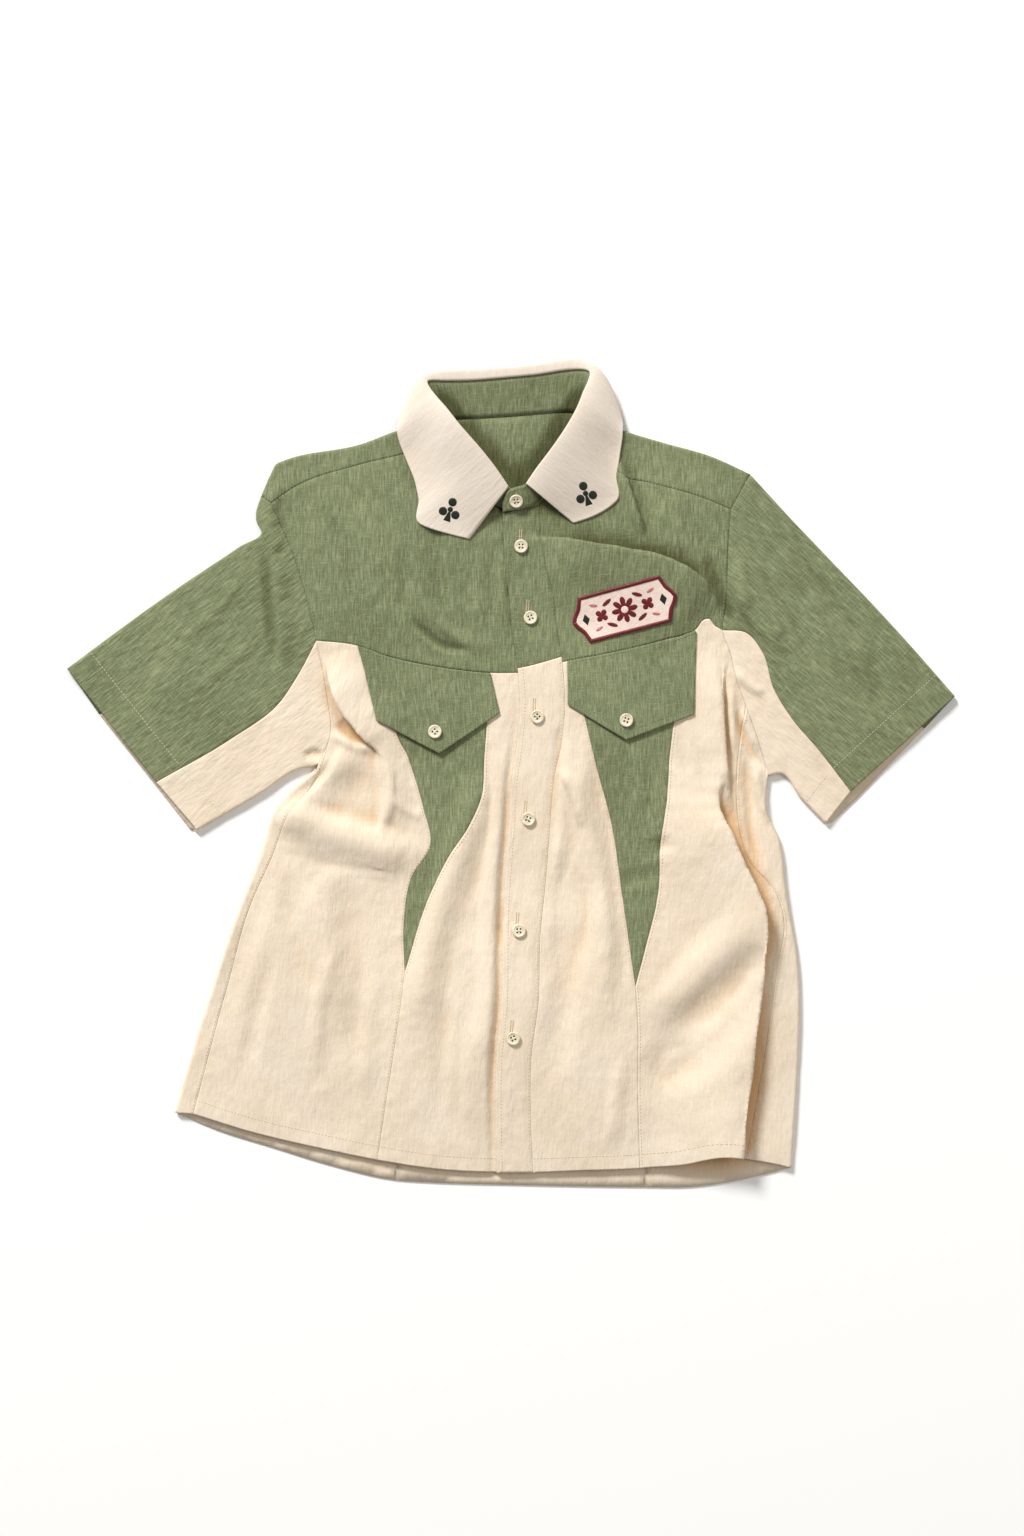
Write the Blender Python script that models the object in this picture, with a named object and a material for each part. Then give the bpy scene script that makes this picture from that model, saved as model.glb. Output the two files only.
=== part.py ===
"""A short-sleeved bowling shirt, lying face up and flat on its back.

The green yokes, sleeve tops, pocket flaps and inserts and the cream body are cut and sewn pieces, and each
is a solid of its own. The collar points to +Y, the wearer's left is at +X, and +Z is up out of the front.
The shirt rests on its back panels at z = 0, and the origin is near the middle of its outline.

A piece is drawn flat, as the area between its seams. lay() then lifts it to where that cloth lies: on the
back sheet, or on the front sheet with its folds. Where the cloth turns from one sheet to the other, a
rounded strip joins the two, and a Solidify modifier gives every piece the thickness of the cloth.
"""

import math
from collections import namedtuple

import bmesh
import bpy
import numpy as np
from mathutils import Matrix, Vector
from mathutils.geometry import delaunay_2d_cdt

MM = 0.001

# Driving sizes, in millimetres. The shirt is 773 across the sleeves and 720 from collar to hem.
WALL = 1.2
COLLAR_WALL = 1.5
SEAM_GAP = 0.3
FOLD_RADIUS = 1.9  # of the middle of the cloth, where it turns from the front to the back
FOLD_END_GAP = 1.0  # between two pieces that meet at such a turn
FOLD_STEPS = 3
LAYER = WALL + 1.1  # from the middle of one cloth to the middle of one that lies on it
CELL = 22.0  # triangle side on the front; the flat back is coarser by BACK_COARSER
BACK_COARSER = 1.8
SEAM_STEP = 15.0
BACK_SEAM_STEP = 30.0
BUTTON_WIDTH = 12.0
BUTTON_HEIGHT = 2.6
BUTTON_SIDES = 12
BADGE_HEIGHT = 1.6
BADGE_GAP = 1.2  # between the badge and the cloth it is sewn to
BADGE_CENTRE = (98.7, 142.1)
BADGE_TILT = math.radians(15)
FLAP_SPRING = 2.5  # how far the point of a pocket flap stands off
FLAP_TOP = 110.0
FLAP_POINT = 20.0

BACK_LEVEL = WALL / 2
FRONT_LEVEL = BACK_LEVEL + 2 * FOLD_RADIUS

Finish = namedtuple("Finish", "colour roughness")
GREEN_COTTON = Finish((0.180, 0.262, 0.128), 0.85)
CREAM_COTTON = Finish((0.830, 0.670, 0.450), 0.80)
IVORY_TWILL = Finish((0.850, 0.750, 0.620), 0.75)
BUTTON_RESIN = Finish((0.820, 0.780, 0.640), 0.35)
BADGE_FELT = Finish((0.620, 0.360, 0.300), 0.80)

# ---------------------------------------------------------------- where the cloth lies

# Broad swellings of the front sheet.
Swell = namedtuple("Swell", "x y half_width half_length rise")
SWELLS = (
    Swell(-100, 185, 110, 110, 5.0),
    Swell(110, 215, 100, 80, 3.0),
    Swell(-10, 225, 80, 70, 4.0),
    Swell(100, 60, 120, 120, 5.0),
    Swell(-190, -160, 120, 170, 5.0),
    Swell(70, -220, 150, 170, 6.0),
    Swell(-60, -230, 110, 150, 5.0),
    Swell(-300, 70, 90, 90, 3.5),
    Swell(295, 90, 95, 95, 3.5),
    Swell(222, -150, 40, 190, 3.0),
)

# A fold is a rounded ridge, or a trough where its rise is below 0. Its path is where its crest shows from
# above. It is `behind` wide on the right-hand side of the way along the path and `ahead` wide on the left, and
# leans `lean` over to the left, past its own foot where that is more than 0.64 of `ahead`. `start` and `end`
# are the shares of its length over which it grows and dies away.
Fold = namedtuple("Fold", "name rise behind ahead lean start end path")
FOLDS = (
    Fold("chest fold over the badge", 13, 62, 10, 16, 0.36, 0.22,
         ((2, 196), (36, 203), (72, 199), (104, 193), (130, 188), (152, 178), (168, 162), (178, 136))),
    Fold("crease down from the collar", 3, 12, 8, 0, 0.3, 0.3,
         ((95, 272), (100, 254), (110, 227), (116, 206))),
    Fold("fold at the right armpit", 10, 34, 8, 12, 0.35, 0.35,
         ((-102, 8), (-113, 20), (-135, 39), (-150, 58), (-158, 80), (-158, 104))),
    Fold("rim under the right armpit", 6, 26, 9, 0, 0.3, 0.4,
         ((-205, -48), (-176, -22), (-156, -2), (-143, 22), (-134, 38))),
    Fold("drag ridge to the right insert", 8, 22, 20, 0, 0.25, 0.25,
         ((-214, -30), (-178, -43), (-149, -51), (-115, -62), (-76, -78))),
    Fold("belly rim below the drag ridge", 4, 22, 10, 0, 0.3, 0.3,
         ((-196, -96), (-170, -88), (-130, -91), (-84, -96))),
    Fold("crease beside the right insert", 4.5, 9, 26, 0, 0.3, 0.3,
         ((-112, 34), (-110, 0), (-107, -23), (-116, -58))),
    Fold("long fold down the left side", 17, 66, 10, 18, 0.2, 0.0,
         ((174, 10), (178, -26), (187, -44), (202, -79), (212, -100), (220, -119), (222, -138), (218, -181),
          (212, -226), (207, -274), (199, -345))),
    Fold("pleat inside the left armpit", 7, 24, 8, 7, 0.3, 0.3,
         ((183, 112), (185, 78), (186, 30), (187, -6), (190, -40))),
    Fold("pocket fold at the left sleeve head", 5, 18, 9, 2, 0.35, 0.4,
         ((241, 98), (222, 120), (212, 130), (203, 142), (199, 158), (199, 186))),
    Fold("valley along the placket", -4, 11, 12, 0, 0.3, 0.3,
         ((-8, 70), (-10, 20), (-14, -34), (-12, -100), (-14, -170))),
    Fold("ridge down the right centre front", 7, 22, 24, 0, 0.25, 0.3,
         ((-24, 20), (-30, -24), (-48, -76), (-66, -130), (-78, -190), (-82, -250))),
    Fold("ridge down the left centre front", 6, 20, 16, 0, 0.2, 0.3,
         ((58, 40), (62, -20), (74, -80), (82, -140), (80, -230))),
    Fold("valley down from the left insert", -4, 20, 18, 0, 0.3, 0.3,
         ((72, -62), (64, -110), (53, -163), (43, -225), (40, -290))),
    Fold("dip across the left insert", -4, 12, 10, 0, 0.3, 0.3,
         ((84, -70), (112, -68), (138, -58))),
    Fold("slope across the lower left side", -7, 34, 26, 0, 0.3, 0.3,
         ((208, -150), (182, -200), (150, -245), (112, -282))),
    Fold("fold round the right sleeve head", 4.5, 12, 10, 0, 0.3, 0.3,
         ((-196, 258), (-207, 236), (-208, 214), (-198, 184))),
    Fold("furrow below the right sleeve head", -3.5, 10, 12, 0, 0.3, 0.3,
         ((-206, 200), (-194, 168), (-184, 128))),
)
FOLD_PATH_STEP = 13
# Rows of points follow each fold, at these shares of its `behind` (below 0) and of its `ahead` (above 0). A
# fold that leans over by more than LEANING of its `ahead` has them closer together.
FOLD_ROWS = (-0.95, -0.5, 0.0, 0.5, 1.0)
LEANING = 0.5
LEANING_FOLD_ROWS = (-0.9, -0.5, -0.2, 0.0, 0.3, 0.6, 1.0)
ROW_GAP, LEANING_ROW_GAP = 6.0, 1.8

# The neckline lies over the collar's fall at the back, so both sheets rise to it.
NECK_RISE = 2.2
NECK_RISE_FROM = 268.0
NECK_RISE_TO = 304.0
NECK_HALF_WIDTH = 125.0


def smooth_step(value):
    value = np.clip(value, 0, 1)
    return value * value * (3 - 2 * value)


def smooth_curve(points, step=SEAM_STEP):
    """Points about `step` apart along a smooth curve through `points`, which are all among them."""
    points = np.array(points, float)
    lengths = np.linalg.norm(np.diff(points, axis=0), axis=1)
    slopes = np.diff(points, axis=0) / lengths[:, None]
    before, after = lengths[:-1, None], lengths[1:, None]
    inner = (slopes[:-1] * after + slopes[1:] * before) / (before + after)
    tangents = np.concatenate([slopes[:1], inner, slopes[-1:]])
    pieces = []
    for i, length in enumerate(lengths):
        count = max(1, round(length / step))
        t = (np.arange(count) / count)[:, None]
        pieces.append(
            points[i] * (1 + 2 * t) * (1 - t) ** 2
            + tangents[i] * length * t * (1 - t) ** 2
            + points[i + 1] * t * t * (3 - 2 * t)
            + tangents[i + 1] * length * t * t * (t - 1)
        )
    return np.concatenate([*pieces, points[-1:]])


def left_of(path):
    """The unit direction to the left of the way along a path, at each of its points."""
    tangents = np.gradient(path, axis=0)
    left = np.column_stack([-tangents[:, 1], tangents[:, 0]])
    return left / np.linalg.norm(left, axis=1)[:, None]


def nearest_on(path, points):
    """For each point, the signed distance to a path (left of it is above 0), the share of the path's length
    at the nearest place, and the unit direction to the path's left there."""
    starts, steps = path[:-1], np.diff(path, axis=0)
    lengths = np.linalg.norm(steps, axis=1)
    along = np.concatenate([[0], np.cumsum(lengths)])
    best = np.full(len(points), np.inf)
    share = np.zeros(len(points))
    signed = np.zeros(len(points))
    left = np.zeros((len(points), 2))
    for i, (start, step, length) in enumerate(zip(starts, steps, lengths)):
        t = np.clip((points - start) @ step / length**2, 0, 1)
        offset = points - (start + t[:, None] * step)
        distance = np.linalg.norm(offset, axis=1)
        closer = distance < best
        normal = np.array([-step[1], step[0]]) / length
        best = np.where(closer, distance, best)
        share = np.where(closer, (along[i] + t * length) / along[-1], share)
        signed = np.where(closer, np.where(offset @ normal < 0, -distance, distance), signed)
        left = np.where(closer[:, None], normal, left)
    return signed, share, left


def growth(fold, share):
    """How far a fold has grown at a share of its length, from 0 to 1."""
    grown = smooth_step(share / fold.start) if fold.start else np.ones(len(share))
    return grown * (smooth_step((1 - share) / fold.end) if fold.end else 1)


def flat_path(fold):
    """The line on the flat cloth that a fold lifts to its crest."""
    seen = smooth_curve(fold.path, FOLD_PATH_STEP)
    grown = growth(fold, np.linspace(0, 1, len(seen)))
    return seen - left_of(seen) * (fold.lean * grown)[:, None]


FOLD_PATHS = [flat_path(fold) for fold in FOLDS]


def neck_rise(points):
    """How far both sheets rise at the neck, over the collar's fall."""
    rise = smooth_step((points[:, 1] - NECK_RISE_FROM) / (NECK_RISE_TO - NECK_RISE_FROM))
    return NECK_RISE * rise * smooth_step((NECK_HALF_WIDTH - np.abs(points[:, 0])) / 30)


def front(points):
    """Where points of the flat front sheet lie: x and y with each fold's lean, and the height of the middle
    of the cloth."""
    points = np.asarray(points, float)
    plan = points.copy()
    height = FRONT_LEVEL + neck_rise(points)
    for swell in SWELLS:
        reach = np.hypot(
            (points[:, 0] - swell.x) / swell.half_width, (points[:, 1] - swell.y) / swell.half_length
        )
        height += swell.rise * np.cos(np.clip(reach, 0, 1) * math.pi / 2) ** 2
    for fold, path in zip(FOLDS, FOLD_PATHS):
        signed, share, left = nearest_on(path, points)
        width = np.where(signed > 0, fold.ahead, fold.behind)
        form = np.cos(np.clip(np.abs(signed) / width, 0, 1) * math.pi / 2) ** 2 * growth(fold, share)
        height += fold.rise * form
        plan += left * (fold.lean * form)[:, None]
    return np.column_stack([plan, np.maximum(height, FRONT_LEVEL + neck_rise(points))])


def back(points):
    """Where points of the flat back sheet lie: on the ground, but for the neck."""
    points = np.asarray(points, float)
    return np.column_stack([points, BACK_LEVEL + neck_rise(points)])


def flat(points):
    """The points of the flat front sheet that show at these places from above."""
    points = np.array(points, float)
    guess = points.copy()
    for _ in range(30):
        guess += 0.6 * (points - front(guess)[:, :2])
    return guess


def normals_of(points):
    """Which way the front sheet faces at points of the flat sheet."""
    step = 0.5
    across = front(points + (step, 0)) - front(points - (step, 0))
    along = front(points + (0, step)) - front(points - (0, step))
    normal = np.cross(across, along)
    return normal / np.linalg.norm(normal, axis=1)[:, None]


def lay(points, sheet, lift=None):
    """Points of a flat sheet where they lie, each raised by its `lift` straight off the sheet."""
    placed = sheet(points)
    return placed if lift is None else placed + normals_of(points) * lift[:, None]


# ---------------------------------------------------------------- lines on the flat sheets


def curve(points):
    """A smooth line on the flat front sheet, through the places that show at `points` from above."""
    return smooth_curve(flat(points))


def back_curve(points):
    """A smooth line on the flat back sheet."""
    return smooth_curve(points, BACK_SEAM_STEP)


def bent(points):
    """Straight runs from each of `points` to the next, as seen from above."""
    runs = [straight_as_seen(one, other)[:-1] for one, other in zip(points, points[1:])]
    return np.concatenate([*runs, flat(points[-1:])])


def straight(first, last):
    return np.array([first, last], float)


def straight_as_seen(first, last):
    """A line on the front sheet that shows straight from above."""
    count = max(2, round(math.dist(first, last) / SEAM_STEP) + 1)
    return flat(np.linspace(first, last, count))


def place_on(line, point):
    """How far along a line its nearest place to a point is, counted in its own points, and that place."""
    steps = np.diff(line, axis=0)
    t = np.clip(np.sum((point - line[:-1]) * steps, axis=1) / np.sum(steps**2, axis=1), 0, 1)
    places = line[:-1] + t[:, None] * steps
    nearest = int(np.argmin(np.linalg.norm(places - point, axis=1)))
    return nearest + t[nearest], places[nearest]


def between(line, first, last):
    """The stretch of a line from its nearest place to `first` to its nearest place to `last`."""
    start, start_place = place_on(line, first)
    stop, stop_place = place_on(line, last)
    low, high = sorted((start, stop))
    inner = line[math.floor(low + 1 + 1e-6) : math.ceil(high - 1e-6)]
    if start > stop:
        inner = inner[::-1]
    return np.concatenate([[start_place], inner, [stop_place]])


def cross(one, other):
    return one[0] * other[1] - one[1] * other[0]


def crossing(one, other):
    """Where two lines cross."""
    for a, b in zip(one, one[1:]):
        for c, d in zip(other, other[1:]):
            spread = cross(b - a, d - c)
            if abs(spread) < 1e-9:
                continue
            s, t = cross(c - a, d - c) / spread, cross(c - a, b - a) / spread
            if 0 <= s <= 1 and 0 <= t <= 1:
                return a + s * (b - a)
    raise ValueError("the lines do not cross")


# ---------------------------------------------------------------- seams, folds and edges

# A seam or an edge has one name on each side of the shirt: LEFT and RIGHT are the wearer's. The outline, where
# the cloth turns under, and the lines of the back are the same on both flat sheets.
RIGHT_SHOULDER_FOLD = smooth_curve([(-64, 308), (-98, 298), (-131, 286), (-204, 270), (-217, 241)])
LEFT_SHOULDER_FOLD = smooth_curve([(62, 312), (97, 298), (130, 288), (175, 277), (205, 258)])
RIGHT_SLEEVE_FOLD = smooth_curve([(-217, 241), (-222, 222), (-217, 209), (-236, 194), (-300, 150), (-386, 91)])
LEFT_SLEEVE_FOLD = smooth_curve([(205, 258), (245, 223), (287, 180), (348, 113), (386, 67)])
RIGHT_UNDERARM_FOLD = smooth_curve([(-272, -50), (-214, -16), (-184, 3), (-168, 6)])
LEFT_UNDERARM_FOLD = smooth_curve([(273, -44), (251, -21), (234, -1), (224, -3)])
RIGHT_SIDE_FOLD = smooth_curve([(-168, 6), (-204, -31), (-218, -72), (-235, -114), (-266, -206), (-292, -295)])
LEFT_SIDE_FOLD = smooth_curve([(224, -3), (222, -30), (233, -57), (239, -102), (250, -170), (251, -208),
                               (249, -264), (244, -343)])

BACK_NECK = back_curve([(62, 312), (50, 315), (30, 315), (-3, 312), (-36, 311), (-52, 311), (-64, 308)])
BACK_YOKE_SEAM = back_curve([(-177, 107), (-97, 103), (8, 100), (112, 105), (191, 116)])
RIGHT_BACK_ARMHOLE = back_curve([(-217, 241), (-197, 203), (-184, 151), (-177, 107), (-170, 50), (-168, 6)])
LEFT_BACK_ARMHOLE = back_curve([(205, 258), (193, 185), (191, 116), (205, 46), (224, -3)])
RIGHT_BACK_SEAM = back_curve([(-97, 103), (-92, -100), (-100, -354)])
LEFT_BACK_SEAM = back_curve([(112, 105), (106, -100), (117, -360)])
RIGHT_SLEEVE_BACK_SEAM = back_curve([(-358, 51), (-271, 68), (-177, 107)])
LEFT_SLEEVE_BACK_SEAM = back_curve([(360, 39), (278, 72), (191, 116)])
RIGHT_BACK_CUFF = bent([(-386, 91), (-358, 51), (-297, -26), (-279, -49), (-272, -50)])
LEFT_BACK_CUFF = bent([(386, 67), (360, 39), (301, -22), (279, -43), (273, -44)])
BACK_HEM = back_curve([(-292, -295), (-254, -311), (-209, -325), (-157, -341), (-100, -354), (-70, -356),
                       (0, -358), (117, -360), (156, -360), (199, -354), (244, -343)])

LEFT_NECK = curve([(24, 234), (38, 252), (50, 272), (58, 293)])
RIGHT_NECK = curve([(-60, 288), (-50, 268), (-34, 250), (-18, 234)])
RIGHT_SHOULDER_SEAM = curve([(-60, 288), (-94, 277), (-131, 268), (-192, 246), (-208, 234)])
LEFT_SHOULDER_SEAM = curve([(58, 293), (101, 257), (124, 251), (164, 240), (191, 229)])
RIGHT_SLEEVE_HEAD = curve([(-217, 241), (-208, 234)])
LEFT_SLEEVE_HEAD = curve([(205, 258), (191, 229)])
RIGHT_ARMHOLE = curve([(-208, 234), (-190, 192), (-180, 161), (-169, 115), (-160, 68), (-157, 33), (-168, 6)])
LEFT_ARMHOLE = curve([(191, 229), (189, 200), (188, 173), (187, 146), (184, 124), (191, 103), (196, 81),
                      (204, 59), (213, 34), (224, -3)])

RIGHT_YOKE_SEAM = curve([(-169, 115), (-135, 111), (-109, 102), (-62, 92), (-18, 87), (16, 87)])
LEFT_YOKE_SEAM = curve([(28, 92), (53, 98), (75, 102), (116, 111), (150, 120), (166, 124), (184, 124)])
RIGHT_INSERT_OUTER = curve([(-109, 102), (-99, 33), (-86, 4), (-76, -30), (-70, -63), (-86, -90), (-93, -132),
                            (-92, -173)])
RIGHT_INSERT_INNER = curve([(-18, 87), (-23, 15), (-26, -22), (-37, -47), (-54, -73), (-71, -108), (-92, -173)])
RIGHT_FRONT_SEAM = curve([(-92, -173), (-99, -225), (-106, -270), (-116, -336)])
LEFT_INSERT_INNER = curve([(53, 98), (75, 3), (87, -42), (97, -108), (108, -185)])
LEFT_INSERT_OUTER = curve([(150, 120), (137, 3), (130, -61), (128, -103), (117, -151), (108, -185)])
LEFT_FRONT_SEAM = curve([(108, -185), (110, -218), (110, -272), (112, -343)])
RIGHT_SIDE_SEAM = curve([(-157, 33), (-166, 1), (-193, -36), (-208, -74), (-226, -114), (-246, -184),
                         (-276, -296)])
LEFT_SIDE_SEAM = curve([(204, 59), (197, 11), (196, -23), (207, -76), (231, -106), (237, -128), (231, -170),
                        (224, -218), (215, -274), (204, -335)])
RIGHT_SLEEVE_SEAM = curve([(-308, -8), (-244, 29), (-202, 60), (-185, 85), (-169, 115)])
LEFT_SLEEVE_SEAM = curve([(295, -16), (268, 19), (242, 50), (228, 74), (219, 104), (204, 122), (184, 124)])
RIGHT_CUFF = bent([(-386, 91), (-308, -8), (-291, -28), (-272, -50)])
LEFT_CUFF = bent([(386, 67), (295, -16), (273, -44)])
RIGHT_HEM = curve([(-276, -296), (-228, -311), (-165, -326), (-116, -336), (-62, -344), (-9.2, -347)])
LEFT_HEM = curve([(14.1, -347), (64, -345), (112, -343), (147, -340), (181, -333), (204, -335)])
RIGHT_HEM_TURN = curve([(-292, -295), (-276, -296)])
LEFT_HEM_TURN = curve([(204, -335), (231, -340), (244, -343)])

# The placket down the front: height up the shirt, free edge, and the line where it is sewn on.
PLACKET = (
    (240, -7.6, 24.6),
    (212, -6.8, 25.6),
    (203, -6.5, 26.1),
    (195, -5.9, 27.2),
    (187, -5.3, 29.0),
    (175, -4.3, 31.3),
    (150, -1.1, 37.4),
    (124, 0.9, 40.5),
    (97, 5.2, 44.4),
    (58, 7.8, 47.0),
    (29, 5.7, 44.4),
    (-5, 0.9, 37.4),
    (-47, -1.7, 33.9),
    (-96, -5.2, 30.0),
    (-144, -7.0, 25.2),
    (-197, -7.8, 23.9),
    (-250, -12.6, 17.4),
    (-295, -13.1, 17.0),
    (-347, -12.2, 19.1),
)
FREE_EDGE, SEWN_EDGE = 1, 2
STAND_SEAM = curve([(-16, 222), (-7, 225), (8, 227.4), (27, 233), (38, 238)])
PLACKET_JOIN = curve([(-6, 90), (6, 91), (24, 95), (44, 101), (56, 105)])
BAND_UNDERLAP = 3.0  # how far the right front ends inside the placket's free edge
FRONT_UNDERLAP = 5.0  # how far the left front ends inside the placket's sewn edge
BAND_EDGE_GAP = 3.0


def down_the_front(edge, shift=0.0):
    """One long edge of the placket, or a line beside it, from the collar stand to the hem."""
    line = curve([(row[edge] + shift, row[0]) for row in PLACKET])
    return between(line, crossing(line, STAND_SEAM), line[-1])


PLACKET_FREE_EDGE = down_the_front(FREE_EDGE)
PLACKET_SEWN_EDGE = down_the_front(SEWN_EDGE)
RIGHT_FRONT_EDGE = down_the_front(FREE_EDGE, BAND_UNDERLAP)
BAND_EDGE = down_the_front(SEWN_EDGE, -FRONT_UNDERLAP - BAND_EDGE_GAP)
LEFT_FRONT_EDGE = down_the_front(SEWN_EDGE, -FRONT_UNDERLAP)

# ---------------------------------------------------------------- pieces between the seams

Side = namedtuple("Side", "line kind")  # kind is "seam", "free" (an edge) or "turn" (the cloth turns under)
Region = namedtuple("Region", "sheet sides")
INSETS = {"seam": SEAM_GAP / 2, "free": 0.0, "turn": FOLD_RADIUS + WALL / 2}
SAME_PLACE = 0.05
BEND_REACH = 6.0  # how far each side of a seam its bend is taken over


def seam(line, first=None, last=None):
    return Side(line if first is None else between(line, first, last), "seam")


def free(line, first=None, last=None):
    return Side(line if first is None else between(line, first, last), "free")


def turn(line):
    return Side(line, "turn")


def in_a_chain(lines):
    """The lines in this order, each turned round where that makes it follow on from the one before."""
    lines = list(lines)
    ends = [np.linalg.norm(lines[0][k] - lines[1][j]) for k in (0, -1) for j in (0, -1)]
    if min(ends[:2]) < min(ends[2:]):
        lines[0] = lines[0][::-1]
    for i in range(1, len(lines)):
        end = lines[i - 1][-1]
        if np.linalg.norm(lines[i][-1] - end) < np.linalg.norm(lines[i][0] - end):
            lines[i] = lines[i][::-1]
    return lines


def joined(sides):
    """The corners of an outline along these sides, counter-clockwise, and the number of the side that starts
    at each corner."""
    corners, owners = [], []
    for index, line in enumerate(in_a_chain(side.line for side in sides)):
        for point in line:
            if corners and np.linalg.norm(point - corners[-1]) < SAME_PLACE:
                owners[-1] = index
                continue
            corners.append(point)
            owners.append(index)
    if np.linalg.norm(corners[0] - corners[-1]) < SAME_PLACE:
        corners.pop()
        owners.pop()
    corners = np.array(corners)
    x, y = corners.T
    if np.sum(x * np.roll(y, -1) - np.roll(x, -1) * y) < 0:
        corners = corners[::-1]
        owners = owners[-2::-1] + owners[-1:]
    return corners, owners


def inward_normals(corners):
    edges = np.roll(corners, -1, axis=0) - corners
    return np.column_stack([-edges[:, 1], edges[:, 0]]) / np.linalg.norm(edges, axis=1)[:, None]


def bend_room(corners, normals):
    """How far an edge of the front sheet draws back where the cloth bends along it, which leaves room for the
    thickness of the cloth on both sides."""
    inward = normals + np.roll(normals, 1, axis=0)
    inward *= BEND_REACH / np.maximum(np.linalg.norm(inward, axis=1), 0.5)[:, None]
    alike = np.sum(normals_of(corners + inward) * normals_of(corners - inward), axis=1)
    return WALL / 2 * np.tan(np.arccos(np.clip(alike, -0.4, 1)) / 2)


def shrunk(corners, kinds, normals, sheet):
    """Each corner moved inwards, so that its two edges lie inside the outline by their own insets."""
    moved = corners.copy()
    room = bend_room(corners, normals) if sheet is front else np.zeros(len(corners))
    for i in range(len(corners)):
        before, after = INSETS[kinds[i - 1]], INSETS[kinds[i]]
        if kinds[i - 1] == "seam":
            before += room[i]
        if kinds[i] == "seam":
            after += room[i]
        if {kinds[i - 1], kinds[i]} == {"seam", "turn"}:
            before, after = max(before, FOLD_END_GAP), max(after, FOLD_END_GAP)
        if abs(cross(normals[i - 1], normals[i])) < 0.12:
            shift = (normals[i - 1] + normals[i]) * (before + after) / 4
        else:
            shift = np.linalg.solve([normals[i - 1], normals[i]], [before, after])
        longest = 2.2 * max(before, after)
        moved[i] += shift * min(1, longest / max(np.linalg.norm(shift), 1e-9))
    return moved


def inside(points, corners):
    """Which points lie inside a closed outline."""
    x, y = points[:, :1], points[:, 1:]
    x0, y0 = corners.T
    x1, y1 = np.roll(corners, -1, axis=0).T
    crosses = (y0 > y) != (y1 > y)
    with np.errstate(divide="ignore", invalid="ignore"):
        meets = x < (x1 - x0) * (y - y0) / (y1 - y0) + x0
    return np.sum(crosses & meets, axis=1) % 2 == 1


def clear_of(points, others, distance):
    """Which points lie further than `distance` from every one of the others."""
    gaps = np.linalg.norm(points[:, None] - others[None], axis=2)
    return gaps.min(axis=1, initial=np.inf) > distance


def lattice(cell):
    """A net of equal triangles over the whole shirt."""
    rows = np.arange(-390, 380, cell * math.sqrt(3) / 2)
    columns = np.arange(-405, 405, cell)
    return np.array([(x + cell / 2 * (k % 2), y) for k, y in enumerate(rows) for x in columns])


def rows_along_folds():
    """Points in rows along each fold, so that the triangles follow it. The sharpest folds come first."""
    rows = np.empty((0, 2))
    order = sorted(zip(FOLDS, FOLD_PATHS), key=lambda pair: -pair[0].lean)
    for fold, path in order:
        leaning = fold.lean > LEANING * fold.ahead
        for share in LEANING_FOLD_ROWS if leaning else FOLD_ROWS:
            row = path + left_of(path) * share * (fold.ahead if share > 0 else fold.behind)
            rows = np.concatenate([rows, row[clear_of(row, rows, LEANING_ROW_GAP if leaning else ROW_GAP)]])
    return rows


FOLD_POINTS = rows_along_folds()


def filled(corners, sheet, cell):
    """Points and triangles that fill an outline, closer together across the folds that lean over."""
    points = corners
    if sheet is front:
        rows = FOLD_POINTS[inside(FOLD_POINTS, corners)]
        points = np.concatenate([points, rows[clear_of(rows, corners, 3.0)]])
    net = lattice(cell if sheet is front else cell * BACK_COARSER)
    net = net[inside(net, corners)]
    points = np.concatenate([points, net[clear_of(net, points, 0.55 * cell)]])
    made = delaunay_2d_cdt([Vector(p) for p in points], [], [list(range(len(corners)))], 1, 1e-4)
    return np.array([tuple(p) for p in made[0]]), made[2]


def cloth(name, finish, *regions, lift=None, wall=WALL, cell=CELL):
    """One piece of cloth from its flat regions. Where a front and a back region share a "turn" side, a strip
    rounds the edge between them. lift(points) raises it off the front sheet."""
    mesh = bmesh.new()
    turns = {}
    for region in regions:
        corners, owners = joined(region.sides)
        normals = inward_normals(corners)
        moved = shrunk(corners, [region.sides[owner].kind for owner in owners], normals, region.sheet)
        points, faces = filled(moved, region.sheet, cell)
        verts = [mesh.verts.new(p) for p in lay(points, region.sheet, lift(points) if lift else None)]
        for face in faces:
            mesh.faces.new([verts[k] for k in face])
        for index, side in enumerate(region.sides):
            if side.kind != "turn":
                continue
            first = next(k for k in range(len(owners)) if owners[k] == index != owners[k - 1])
            run = [(first + k) % len(corners) for k in range(owners.count(index) + 1)]
            outward = -(normals[run] + normals[np.array(run) - 1])
            outward[0] = -normals[run[0]]
            outward[-1] = -normals[run[-1] - 1]
            outward /= np.linalg.norm(outward, axis=1)[:, None]
            way = 1 if np.linalg.norm(corners[first] - side.line[0]) < SAME_PLACE else -1
            turns.setdefault(id(side.line), []).append((region.sheet(moved[run])[::way], outward[::way]))
    for pair in turns.values():
        (lower, _), (upper, outward) = sorted(pair, key=lambda edge: edge[0][:, 2].mean())
        add_turn(mesh, upper, lower, outward)
    bmesh.ops.remove_doubles(mesh, verts=mesh.verts, dist=0.02)
    bmesh.ops.recalc_face_normals(mesh, faces=mesh.faces)
    return solid(name, finish, mesh, wall)


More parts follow.
